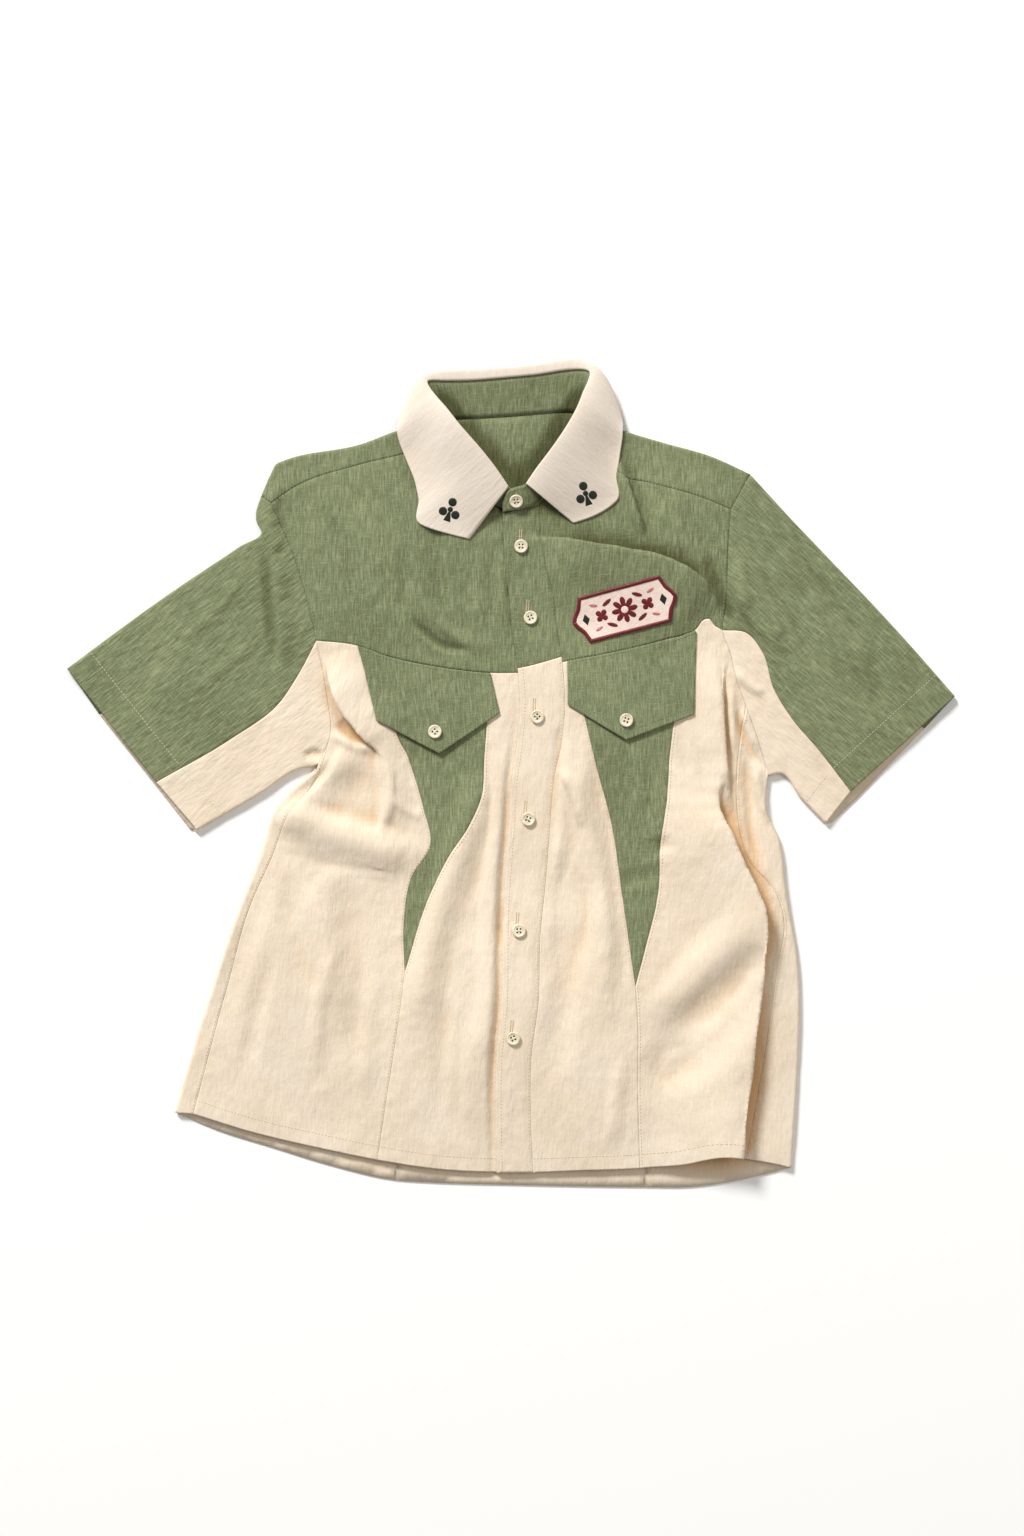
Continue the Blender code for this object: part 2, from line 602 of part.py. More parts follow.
def add_turn(mesh, upper, lower, outward):
    """The rounded strip where the cloth turns from the front sheet to the back sheet."""
    columns = []
    for top, foot, out in zip(upper, lower, outward):
        middle, half = (top + foot) / 2, (top - foot) / 2
        column = []
        for k in range(FOLD_STEPS + 1):
            angle = math.pi * k / FOLD_STEPS
            bulge = np.array([*out, 0]) * FOLD_RADIUS * math.sin(angle)
            column.append(mesh.verts.new(middle + half * math.cos(angle) + bulge))
        columns.append(column)
    skin(mesh, columns)


def skin(mesh, rows):
    """Faces between neighbouring rows of points."""
    for one, other in zip(rows, rows[1:]):
        for k in range(len(one) - 1):
            mesh.faces.new([one[k], other[k], other[k + 1], one[k + 1]])


def solid(name, finish, mesh, wall=None):
    """The object of a mesh in millimetres, with the thickness of its cloth."""
    bmesh.ops.scale(mesh, vec=(MM, MM, MM), verts=mesh.verts)
    data = bpy.data.meshes.new(name)
    mesh.to_mesh(data)
    mesh.free()
    made = bpy.data.objects.new(name, data)
    bpy.context.scene.collection.objects.link(made)
    if wall:
        thickness = made.modifiers.new("cloth thickness", "SOLIDIFY")
        thickness.thickness = wall * MM
        thickness.offset = 0
    data.materials.append(material(name, finish))
    return made


def material(name, finish):
    made = bpy.data.materials.new(name)
    made.use_nodes = True
    shader = made.node_tree.nodes["Principled BSDF"]
    shader.inputs["Base Color"].default_value = (*finish.colour, 1)
    shader.inputs["Roughness"].default_value = finish.roughness
    shader.inputs["Metallic"].default_value = 0
    return made


# ---------------------------------------------------------------- the body


def front_panels():
    """The two front yokes, and below each a centre front, an insert and a side front."""
    right_corner = crossing(RIGHT_YOKE_SEAM, RIGHT_FRONT_EDGE)
    left_corner = crossing(LEFT_YOKE_SEAM, LEFT_FRONT_EDGE)
    right_chest, left_chest = RIGHT_SLEEVE_SEAM[-1], LEFT_SLEEVE_SEAM[-1]
    cloth("front_yoke_right", GREEN_COTTON, Region(front, [
        seam(RIGHT_NECK),
        seam(straight(RIGHT_NECK[-1], RIGHT_FRONT_EDGE[0])),
        seam(RIGHT_FRONT_EDGE, RIGHT_FRONT_EDGE[0], right_corner),
        seam(RIGHT_YOKE_SEAM, right_corner, right_chest),
        seam(RIGHT_ARMHOLE, right_chest, RIGHT_ARMHOLE[0]),
        seam(RIGHT_SHOULDER_SEAM),
    ]))
    cloth("front_yoke_left", GREEN_COTTON, Region(front, [
        seam(LEFT_NECK),
        seam(straight(LEFT_NECK[0], LEFT_FRONT_EDGE[0])),
        free(LEFT_FRONT_EDGE, LEFT_FRONT_EDGE[0], left_corner),
        seam(LEFT_YOKE_SEAM, left_corner, left_chest),
        seam(LEFT_ARMHOLE, left_chest, LEFT_ARMHOLE[0]),
        seam(LEFT_SHOULDER_SEAM),
    ]))
    cloth("front_centre_right", CREAM_COTTON, Region(front, [
        seam(RIGHT_YOKE_SEAM, right_corner, RIGHT_INSERT_INNER[0]),
        seam(RIGHT_INSERT_INNER),
        seam(RIGHT_FRONT_SEAM),
        free(RIGHT_HEM, RIGHT_FRONT_SEAM[-1], RIGHT_HEM[-1]),
        seam(RIGHT_FRONT_EDGE, RIGHT_FRONT_EDGE[-1], right_corner),
    ]))
    cloth("front_centre_left", CREAM_COTTON, Region(front, [
        seam(LEFT_YOKE_SEAM, left_corner, LEFT_INSERT_INNER[0]),
        seam(LEFT_INSERT_INNER),
        seam(LEFT_FRONT_SEAM),
        free(LEFT_HEM, LEFT_FRONT_SEAM[-1], LEFT_HEM[0]),
        free(LEFT_FRONT_EDGE, LEFT_FRONT_EDGE[-1], left_corner),
    ]))
    for side, yoke_seam, inner, outer in (
        ("right", RIGHT_YOKE_SEAM, RIGHT_INSERT_INNER, RIGHT_INSERT_OUTER),
        ("left", LEFT_YOKE_SEAM, LEFT_INSERT_INNER, LEFT_INSERT_OUTER),
    ):
        sides = [seam(yoke_seam, inner[0], outer[0]), seam(outer), seam(inner)]
        cloth("front_insert_" + side, GREEN_COTTON, Region(front, sides))
    cloth("front_side_right", CREAM_COTTON, Region(front, [
        seam(RIGHT_YOKE_SEAM, RIGHT_INSERT_OUTER[0], right_chest),
        seam(RIGHT_ARMHOLE, right_chest, RIGHT_SIDE_SEAM[0]),
        seam(RIGHT_SIDE_SEAM),
        free(RIGHT_HEM, RIGHT_HEM[0], RIGHT_FRONT_SEAM[-1]),
        seam(RIGHT_FRONT_SEAM),
        seam(RIGHT_INSERT_OUTER),
    ]))
    cloth("front_side_left", CREAM_COTTON, Region(front, [
        seam(LEFT_YOKE_SEAM, LEFT_INSERT_OUTER[0], left_chest),
        seam(LEFT_ARMHOLE, left_chest, LEFT_SIDE_SEAM[0]),
        seam(LEFT_SIDE_SEAM),
        free(LEFT_HEM, LEFT_HEM[-1], LEFT_FRONT_SEAM[-1]),
        seam(LEFT_FRONT_SEAM),
        seam(LEFT_INSERT_OUTER),
    ]))


def back_panels():
    """The back yoke, which comes over the shoulders to the front, and below it three panels, of which the
    side ones come round to the side seams."""
    back_yoke = Region(back, [
        seam(BACK_NECK),
        turn(RIGHT_SHOULDER_FOLD),
        seam(RIGHT_BACK_ARMHOLE, RIGHT_BACK_ARMHOLE[0], BACK_YOKE_SEAM[0]),
        seam(BACK_YOKE_SEAM),
        seam(LEFT_BACK_ARMHOLE, BACK_YOKE_SEAM[-1], LEFT_BACK_ARMHOLE[0]),
        turn(LEFT_SHOULDER_FOLD),
    ])
    over_right_shoulder = Region(front, [
        turn(RIGHT_SHOULDER_FOLD),
        seam(RIGHT_SLEEVE_HEAD),
        seam(RIGHT_SHOULDER_SEAM),
        seam(straight(RIGHT_NECK[0], RIGHT_SHOULDER_FOLD[0])),
    ])
    over_left_shoulder = Region(front, [
        turn(LEFT_SHOULDER_FOLD),
        seam(LEFT_SLEEVE_HEAD),
        seam(LEFT_SHOULDER_SEAM),
        seam(straight(LEFT_NECK[-1], LEFT_SHOULDER_FOLD[0])),
    ])
    cloth("back_yoke", GREEN_COTTON, back_yoke, over_right_shoulder, over_left_shoulder)
    cloth("back_centre", CREAM_COTTON, Region(back, [
        seam(BACK_YOKE_SEAM, RIGHT_BACK_SEAM[0], LEFT_BACK_SEAM[0]),
        seam(LEFT_BACK_SEAM),
        free(BACK_HEM, LEFT_BACK_SEAM[-1], RIGHT_BACK_SEAM[-1]),
        seam(RIGHT_BACK_SEAM),
    ]))
    for side, armhole, back_armhole, fold, back_seam, side_seam, hem_turn, end in (
        ("right", RIGHT_ARMHOLE, RIGHT_BACK_ARMHOLE, RIGHT_SIDE_FOLD, RIGHT_BACK_SEAM, RIGHT_SIDE_SEAM,
         RIGHT_HEM_TURN, 0),
        ("left", LEFT_ARMHOLE, LEFT_BACK_ARMHOLE, LEFT_SIDE_FOLD, LEFT_BACK_SEAM, LEFT_SIDE_SEAM,
         LEFT_HEM_TURN, -1),
    ):
        behind = Region(back, [
            seam(back_armhole, BACK_YOKE_SEAM[end], back_armhole[-1]),
            turn(fold),
            free(BACK_HEM, BACK_HEM[end], back_seam[-1]),
            seam(back_seam),
            seam(BACK_YOKE_SEAM, back_seam[0], BACK_YOKE_SEAM[end]),
        ])
        in_front = Region(front, [
            turn(fold),
            free(hem_turn),
            seam(side_seam),
            seam(armhole, side_seam[0], armhole[-1]),
        ])
        cloth("back_side_" + side, CREAM_COTTON, behind, in_front)


def sleeves():
    """Each sleeve is a green upper piece, turned over the top edge, and a cream under piece, turned under the
    armpit."""
    for side, top_fold, head, armhole, sleeve_seam, cuff, back_armhole, back_seam, back_cuff, under in (
        ("right", RIGHT_SLEEVE_FOLD, RIGHT_SLEEVE_HEAD, RIGHT_ARMHOLE, RIGHT_SLEEVE_SEAM, RIGHT_CUFF,
         RIGHT_BACK_ARMHOLE, RIGHT_SLEEVE_BACK_SEAM, RIGHT_BACK_CUFF, RIGHT_UNDERARM_FOLD),
        ("left", LEFT_SLEEVE_FOLD, LEFT_SLEEVE_HEAD, LEFT_ARMHOLE, LEFT_SLEEVE_SEAM, LEFT_CUFF,
         LEFT_BACK_ARMHOLE, LEFT_SLEEVE_BACK_SEAM, LEFT_BACK_CUFF, LEFT_UNDERARM_FOLD),
    ):
        for name, finish, fold, end in (
            ("sleeve_upper_", GREEN_COTTON, top_fold, 0),
            ("sleeve_under_", CREAM_COTTON, under, -1),
        ):
            in_front = [
                turn(fold),
                seam(armhole, armhole[end], sleeve_seam[-1]),
                seam(sleeve_seam),
                free(cuff, sleeve_seam[0], cuff[end]),
            ]
            if fold is top_fold:
                in_front.insert(1, seam(head))
            behind = [
                turn(fold),
                seam(back_armhole, back_armhole[end], back_seam[-1]),
                seam(back_seam),
                free(back_cuff, back_seam[0], back_cuff[end]),
            ]
            cloth(name + side, finish, Region(front, in_front), Region(back, behind))


# ---------------------------------------------------------------- placket, flaps and badge


def one_layer_up(points):
    return np.full(len(points), LAYER)


def flap_lift(points):
    """A pocket flap lies on the panels under it, and its point stands a little off them."""
    below = np.clip((FLAP_TOP - points[:, 1]) / (FLAP_TOP - FLAP_POINT), 0, 1)
    return LAYER + FLAP_SPRING * below**2


def badge_lift(points):
    return np.full(len(points), WALL / 2 + BADGE_GAP + BADGE_HEIGHT / 2)


def placket():
    """The button band, and over it the placket on the left front, green above the chest and cream below."""
    cloth("button_band", CREAM_COTTON, Region(front, [
        seam(RIGHT_FRONT_EDGE),
        free(straight(RIGHT_FRONT_EDGE[-1], BAND_EDGE[-1])),
        free(BAND_EDGE),
        seam(straight(BAND_EDGE[0], RIGHT_FRONT_EDGE[0])),
    ]))
    free_corner = crossing(PLACKET_JOIN, PLACKET_FREE_EDGE)
    sewn_corner = crossing(PLACKET_JOIN, PLACKET_SEWN_EDGE)
    for name, finish, end in (("placket_upper", GREEN_COTTON, 0), ("placket_lower", CREAM_COTTON, -1)):
        sides = [
            free(PLACKET_FREE_EDGE, PLACKET_FREE_EDGE[end], free_corner),
            seam(PLACKET_JOIN, free_corner, sewn_corner),
            free(PLACKET_SEWN_EDGE, sewn_corner, PLACKET_SEWN_EDGE[end]),
            seam(straight(PLACKET_SEWN_EDGE[end], PLACKET_FREE_EDGE[end])),
        ]
        cloth(name, finish, Region(front, sides), lift=one_layer_up)


def flaps():
    """The two pointed pocket flaps, sewn on at the yoke seams."""
    for side, yoke_seam, corners in (
        ("right", RIGHT_YOKE_SEAM, [(-133, 110), (-127, 87), (-117, 45), (-62, 17), (-10, 52), (-18, 87)]),
        ("left", LEFT_YOKE_SEAM, [(49, 97), (49.5, 59), (100, 29), (159, 51), (160, 86), (161, 122)]),
    ):
        ends = flat(corners)
        sides = [free(yoke_seam, ends[0], ends[-1])]
        sides += [free(straight_as_seen(one, other)) for one, other in zip(corners, corners[1:])]
        cloth("flap_" + side, GREEN_COTTON, Region(front, sides), lift=flap_lift)


# Half the badge's outline, from its middle: the other half is the same turned round.
BADGE_OUTLINE = ((-36, 20), (0, 20), (36, 20), (39.5, 10.5), (44, 4.6), (46, 0), (44, -4.6), (39.5, -10.5))
BADGE_CELL = 8.0


def badge():
    """The chest badge: a plate with a bracket at each end."""
    whole = [Vector(p) for p in BADGE_OUTLINE] + [-Vector(p) for p in BADGE_OUTLINE]
    tilt = Matrix.Rotation(BADGE_TILT, 2)
    loop = flat([tuple(tilt @ p + Vector(BADGE_CENTRE)) for p in whole])
    sides = [free(straight(one, other)) for one, other in zip(loop, np.roll(loop, -1, axis=0))]
    cloth("chest_badge", BADGE_FELT, Region(front, sides), wall=BADGE_HEIGHT, lift=badge_lift, cell=BADGE_CELL)


# ---------------------------------------------------------------- the collar

# The stand, from its buttoned end over the placket, round the wearer's left and the back, to its other end
# underneath. Each row has the neckline, how far the stand starts above the cloth there, and its top edge.
Stand = namedtuple("Stand", "neck_x neck_y neck_lift top_x top_y top_z")
STAND = [Stand(*row) for row in (
    (-7.2, 226.2, 4.2, -7.2, 234.5, 13.5),
    (-3.5, 227.0, 4.2, -3.0, 243.5, 16.5),
    (5.0, 228.2, 4.2, 4.0, 247.5, 17.5),
    (14.0, 230.7, 4.0, 13.0, 250.5, 18.5),
    (24.0, 235.5, 2.6, 21.5, 263.0, 20.5),
    (38.0, 252.0, 1.7, 33.0, 278.0, 23.0),
    (50.0, 272.0, 1.7, 45.0, 295.0, 24.5),
    (57.0, 291.0, 2.0, 55.5, 313.0, 22.5),
    (58.8, 303.0, 2.0, 63.0, 331.0, 17.5),
    (56.0, 311.8, 2.0, 68.0, 347.5, 13.0),
    (45.0, 313.7, 1.7, 50.0, 349.5, 10.5),
    (22.0, 312.0, 1.7, 23.0, 345.5, 9.5),
    (-4.0, 310.0, 1.7, -4.0, 343.0, 9.5),
    (-30.0, 308.5, 1.7, -34.0, 340.5, 9.5),
    (-50.0, 307.5, 1.7, -57.0, 340.0, 10.5),
    (-59.0, 305.0, 1.9, -72.0, 339.5, 13.0),
    (-59.3, 296.5, 2.0, -67.0, 329.0, 17.5),
    (-57.5, 284.0, 1.7, -56.0, 316.0, 22.5),
    (-48.0, 266.5, 1.7, -43.0, 299.5, 24.5),
    (-34.0, 250.5, 1.7, -27.0, 281.5, 22.5),
    (-18.0, 235.5, 1.7, -13.0, 264.0, 19.5),
    (-6.0, 229.5, 1.7, -2.0, 248.0, 16.0),
    (4.0, 229.8, 1.7, 6.5, 246.0, 14.5),
    (14.0, 231.5, 1.7, 15.0, 247.5, 14.0),
)]
STAND_ACROSS = (0.0, 0.5, 1.0)

# The fall, which is sewn to the stand's top edge from its fourth row to its last but two. Each row has the
# outer edge, the way the fall swings out in degrees from +X, and how far it runs that way at the top edge and
# at the outer edge. Where edge_z is ON_SHIRT the edge rests on the front.
ON_SHIRT = None
FALL_REST = 2.3
FALL_RISE = 1.9  # of the fall's middle over the stand's top edge
Fall = namedtuple("Fall", "edge_x edge_y edge_z swing out_top out_edge")
FALL = [Fall(*row) for row in (
    (54, 217, ON_SHIRT, -40, 15, -15),
    (74, 224, ON_SHIRT, -37, 15, -15),
    (93, 238, ON_SHIRT, -34, 15, -15),
    (92, 256, ON_SHIRT, -40, 15, -15),
    (95, 279, ON_SHIRT, -42, 15, -13),
    (97, 299, 9.5, -25, 14, -6),
    (91, 315, 1.8, 52, 17, 8),
    (62, 312, 0.8, 80, 28, 26),
    (28, 307, 0.8, 88, 27, 26),
    (-3, 305, 0.8, 90, 26, 26),
    (-32, 304, 0.8, 91, 27, 26),
    (-60, 307, 0.8, 98, 26, 22),
    (-90, 312, 1.8, 130, 16, 8),
    (-99, 298, 9.5, 205, 14, -6),
    (-93, 277, ON_SHIRT, 222, 15, -13),
    (-84, 255, ON_SHIRT, 228, 15, -15),
    (-80, 235, ON_SHIRT, 226, 15, -15),
    (-79, 216, ON_SHIRT, 224, 15, -15),
    (-36, 203, ON_SHIRT, 233, 15, -15),
)]
FALL_FIRST = 3
FALL_ACROSS = np.linspace(0, 1, 7)


def stand_row(row):
    """The points of a stand row on the neckline and on the top edge."""
    seat = [(row.neck_x, row.neck_y)]
    sheet = back if row.neck_y > NECK_RISE_TO else front
    neck = sheet(flat(seat))[0] + (0, 0, row.neck_lift)
    return neck, np.array([row.top_x, row.top_y, row.top_z])


def fall_row(row, top):
    """The points across the fall, on a smooth curve from the stand's top edge to the outer edge."""
    edge = np.array([row.edge_x, row.edge_y, 0.0])
    edge[2] = front(flat([edge[:2]]))[0, 2] + FALL_REST if row.edge_z is ON_SHIRT else row.edge_z
    swing = math.radians(row.swing)
    way = np.array([math.cos(swing), math.sin(swing), 0])
    start = top + (0, 0, FALL_RISE)
    handles = (start, start + way * row.out_top + (0, 0, 2), edge + way * row.out_edge, edge)
    shares = ((1 - FALL_ACROSS) ** 3, 3 * FALL_ACROSS * (1 - FALL_ACROSS) ** 2,
              3 * FALL_ACROSS**2 * (1 - FALL_ACROSS), FALL_ACROSS**3)
    return sum(share[:, None] * handle for share, handle in zip(shares, handles))


def with_rows_between(rows):
    """The rows with another between each two, on a smooth curve through them."""
    rows = np.array(rows)
    more = []
    for i in range(len(rows) - 1):
        before, after = rows[max(i - 1, 0)], rows[min(i + 2, len(rows) - 1)]
        more += [rows[i], (9 * (rows[i] + rows[i + 1]) - before - after) / 16]
    return np.array(more + [rows[-1]])


def band(name, finish, rows):
    """A piece of collar through rows of points."""
    mesh = bmesh.new()
    skin(mesh, [[mesh.verts.new(p) for p in row] for row in with_rows_between(rows)])
    bmesh.ops.recalc_face_normals(mesh, faces=mesh.faces)
    solid(name, finish, mesh, COLLAR_WALL)


def collar():
    ends = [stand_row(row) for row in STAND]
    band("collar_stand", GREEN_COTTON, [
        [neck + (top - neck) * share for share in STAND_ACROSS] for neck, top in ends
    ])
    tops = [top for _, top in ends[FALL_FIRST : FALL_FIRST + len(FALL)]]
    band("collar_fall", IVORY_TWILL, [fall_row(row, top) for row, top in zip(FALL, tops)])


# ---------------------------------------------------------------- buttons

STAND_BUTTON = (5, 236)
PLACKET_BUTTONS = ((9, 197), (17, 135), (23, 49), (15, -40), (7, -137), (2, -230))
FLAP_BUTTONS = {"right": (-66, 36), "left": (100, 46)}
# The turned profile of a button, as shares of its radius and height: a rounded rim round a dished middle.
BUTTON_PROFILE = ((0.82, 0.0), (1.0, 0.38), (0.95, 0.86), (0.80, 1.0), (0.62, 0.66))
BUTTON_GAP = 0.7


def button(name, seat, normal):
    """A button that rests just above a seat and faces along a normal."""
    mesh = bmesh.new()
    rings = []
    for reach, rise in BUTTON_PROFILE:
        radius = BUTTON_WIDTH / 2 * reach
        angles = [2 * math.pi * k / BUTTON_SIDES for k in range(BUTTON_SIDES)]
        places = [(radius * math.cos(a), radius * math.sin(a), BUTTON_HEIGHT * rise) for a in angles]
        rings.append([mesh.verts.new(place) for place in places])
    skin(mesh, [[*ring, ring[0]] for ring in rings[::-1]])
    mesh.faces.new(rings[0][::-1])
    mesh.faces.new(rings[-1])
    face_up = Vector((0, 0, 1)).rotation_difference(Vector(normal)).to_matrix()
    bmesh.ops.rotate(mesh, verts=mesh.verts, matrix=face_up)
    bmesh.ops.translate(mesh, verts=mesh.verts, vec=Vector(seat + normal * BUTTON_GAP))
    bmesh.ops.recalc_face_normals(mesh, faces=mesh.faces)
    solid(name, BUTTON_RESIN, mesh)


def button_on_cloth(name, place, lift):
    where = flat([place])
    normal = normals_of(where)[0]
    button(name, front(where)[0] + normal * (lift(where)[0] + WALL / 2), normal)


def buttons():
    neck, top = stand_row(STAND[2])
    face = (top - neck) / np.linalg.norm(top - neck)
    normal = np.cross((1, 0, 0), face)
    seat = neck + face * (STAND_BUTTON[1] - neck[1]) / face[1] + normal * COLLAR_WALL / 2
    button("stand_button", seat, normal)
    for number, place in enumerate(PLACKET_BUTTONS, 1):
        button_on_cloth(f"placket_button_{number}", place, one_layer_up)
    for side, place in FLAP_BUTTONS.items():
        button_on_cloth("flap_button_" + side, place, flap_lift)


def main():
    for existing in list(bpy.data.objects):
        bpy.data.objects.remove(existing)
    front_panels()
    back_panels()
    sleeves()
    placket()
    flaps()
    badge()
    collar()
    buttons()


main()
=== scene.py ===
"""The looks of a short-sleeved bowling shirt that lies face up and flat on its back.

Each cut piece of the shirt is a fine mesh of thin cloth in place of its CAD solid. The pieces are drawn flat,
as the area between their seams, and laid on two sheets: the back sheet on the ground, and the front sheet
with its folds. The large folds are those of the solids. Small creases, seams, puckers and stitches are added
here. Lengths are in millimetres until an object is made.
"""

import math
from collections import namedtuple

import bmesh
import bpy
import numpy as np
from mathutils import Matrix, Vector, noise
from mathutils.bvhtree import BVHTree
from mathutils.geometry import delaunay_2d_cdt
from mathutils.kdtree import KDTree


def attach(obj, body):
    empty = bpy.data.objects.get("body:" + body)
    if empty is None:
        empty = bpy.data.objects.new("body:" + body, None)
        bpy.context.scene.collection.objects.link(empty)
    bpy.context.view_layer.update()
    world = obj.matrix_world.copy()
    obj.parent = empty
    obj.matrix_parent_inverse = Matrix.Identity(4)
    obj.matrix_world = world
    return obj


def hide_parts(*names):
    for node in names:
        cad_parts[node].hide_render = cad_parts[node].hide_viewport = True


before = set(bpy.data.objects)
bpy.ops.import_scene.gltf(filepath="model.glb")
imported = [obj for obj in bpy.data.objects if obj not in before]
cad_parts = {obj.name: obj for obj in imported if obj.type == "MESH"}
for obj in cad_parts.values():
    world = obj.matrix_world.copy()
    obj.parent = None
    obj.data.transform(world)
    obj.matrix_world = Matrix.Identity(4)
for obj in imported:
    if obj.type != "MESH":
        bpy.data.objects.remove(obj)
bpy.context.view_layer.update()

MM = 0.001
TINY = 1e-9  # less than anything measured, so that nothing is divided by 0

# Sizes of the solids.
WALL = 1.2
FOLD_RADIUS = 1.9  # where the cloth turns from the front sheet to the back sheet
FLAP_SPRING = 2.5  # how much further off the cloth a flap's point stands than its top
FLAP_TOP, FLAP_POINT = 110.0, 20.0  # the heights up the shirt between which a flap comes to stand off
BADGE_CENTRE = (98.7, 142.1)
BADGE_TILT = math.radians(15)
BACK_LEVEL = WALL / 2
FRONT_LEVEL = BACK_LEVEL + 2 * FOLD_RADIUS

# Sizes of the cloth that shows.
CLOTH = 0.7
COLLAR_CLOTH = 1.1
LAYER = 1.2  # from the middle of one cloth to the middle of one that lies on it
GREEN_GROOVE, CREAM_GROOVE, GROOVE_WIDTH = 0.50, 0.16, 1.1  # of the line where two pieces are sewn together
PUCKER, PUCKER_REACH = 0.45, 9.0  # how far the cloth ripples beside a seam, and how far in
STITCH_PITCH, STITCH_LENGTH, STITCH_RADIUS = 3.0, 2.1, 0.27
TOPSTITCH = (1.8,)  # how far beside a seam or an edge its row of stitches runs
SLEEVE_HEM, BODY_HEM = 25.0, 12.0

# How fine the meshes are.
CELL, BACK_CELL = 2.4, 9.0  # between points of the front sheet and of the back sheet
SEAM_STEP, BACK_SEAM_STEP = 2.5, 12.0  # between points along a line
SEAM_ROWS = (1.1, 2.6)  # rows of points inside a seam, so that its groove is smooth
FOLD_STEPS = 6  # round the turn from the front sheet to the back sheet
WELD = 0.02  # points closer together than this become one

# ---------------------------------------------------------------- where the cloth lies

# Broad swellings of the front sheet.
Swell = namedtuple("Swell", "x y half_width half_length rise")
SWELLS = (
    Swell(-100, 185, 110, 110, 5.0),
    Swell(110, 215, 100, 80, 3.0),
    Swell(-10, 225, 80, 70, 4.0),
    Swell(100, 60, 120, 120, 5.0),
    Swell(-190, -160, 120, 170, 5.0),
    Swell(70, -220, 150, 170, 6.0),
    Swell(-60, -230, 110, 150, 5.0),
    Swell(-300, 70, 90, 90, 3.5),
    Swell(295, 90, 95, 95, 3.5),
    Swell(222, -150, 40, 190, 3.0),
)

# A fold is a rounded ridge, or a trough where its rise is below 0. Its path is where its crest shows from
# above. It is `behind` wide on the right-hand side of the way along the path and `ahead` wide on the left,
# and leans `lean` over to the left, past its own foot where that is more than 0.64 of `ahead`. `start` and
# `end` are the shares of its length over which it grows and dies away.
Fold = namedtuple("Fold", "name rise behind ahead lean start end path")
FOLDS = (
    Fold("chest fold over the badge", 13, 62, 10, 16, 0.36, 0.22,
         ((2, 196), (36, 203), (72, 199), (104, 193), (130, 188), (152, 178), (168, 162), (178, 136))),
    Fold("crease down from the collar", 3, 12, 8, 0, 0.3, 0.3,
         ((95, 272), (100, 254), (110, 227), (116, 206))),
    Fold("fold at the right armpit", 10, 34, 8, 12, 0.35, 0.35,
         ((-102, 8), (-113, 20), (-135, 39), (-150, 58), (-158, 80), (-158, 104))),
    Fold("rim under the right armpit", 6, 26, 9, 0, 0.3, 0.4,
         ((-205, -48), (-176, -22), (-156, -2), (-143, 22), (-134, 38))),
    Fold("drag ridge to the right insert", 8, 22, 20, 0, 0.25, 0.25,
         ((-214, -30), (-178, -43), (-149, -51), (-115, -62), (-76, -78))),
    Fold("belly rim below the drag ridge", 4, 22, 10, 0, 0.3, 0.3,
         ((-196, -96), (-170, -88), (-130, -91), (-84, -96))),
    Fold("crease beside the right insert", 4.5, 9, 26, 0, 0.3, 0.3,
         ((-112, 34), (-110, 0), (-107, -23), (-116, -58))),
    Fold("long fold down the left side", 17, 66, 10, 18, 0.2, 0.0,
         ((174, 10), (178, -26), (187, -44), (202, -79), (212, -100), (220, -119), (222, -138), (218, -181),
          (212, -226), (207, -274), (199, -345))),
    Fold("pleat inside the left armpit", 7, 24, 8, 7, 0.3, 0.3,
         ((183, 112), (185, 78), (186, 30), (187, -6), (190, -40))),
    Fold("pocket fold at the left sleeve head", 5, 18, 9, 2, 0.35, 0.4,
         ((241, 98), (222, 120), (212, 130), (203, 142), (199, 158), (199, 186))),
    Fold("valley along the placket", -4, 11, 12, 0, 0.3, 0.3,
         ((-8, 70), (-10, 20), (-14, -34), (-12, -100), (-14, -170))),
    Fold("ridge down the right centre front", 7, 22, 24, 0, 0.25, 0.3,
         ((-24, 20), (-30, -24), (-48, -76), (-66, -130), (-78, -190), (-82, -250))),
    Fold("ridge down the left centre front", 6, 20, 16, 0, 0.2, 0.3,
         ((58, 40), (62, -20), (74, -80), (82, -140), (80, -230))),
    Fold("valley down from the left insert", -4, 20, 18, 0, 0.3, 0.3,
         ((72, -62), (64, -110), (53, -163), (43, -225), (40, -290))),
    Fold("dip across the left insert", -4, 12, 10, 0, 0.3, 0.3,
         ((84, -70), (112, -68), (138, -58))),
    Fold("slope across the lower left side", -7, 34, 26, 0, 0.3, 0.3,
         ((208, -150), (182, -200), (150, -245), (112, -282))),
    Fold("fold round the right sleeve head", 4.5, 12, 10, 0, 0.3, 0.3,
         ((-196, 258), (-207, 236), (-208, 214), (-198, 184))),
    Fold("furrow below the right sleeve head", -3.5, 10, 12, 0, 0.3, 0.3,
         ((-206, 200), (-194, 168), (-184, 128))),
)
FOLD_PATH_STEP = 13  # between points along a fold's path

# The neckline lies over the collar's fall at the back, so both sheets rise to it.
NECK_RISE = 2.2
NECK_RISE_FROM, NECK_RISE_TO = 268.0, 304.0  # the heights up the shirt between which they rise
NECK_HALF_WIDTH, NECK_FADE = 125.0, 30.0  # how far out they rise, and over what width that dies away


def smooth_step(value):
    """An even rise from 0 to 1, as the value goes from 0 to 1."""
    value = np.clip(value, 0, 1)
    return value * value * (3 - 2 * value)


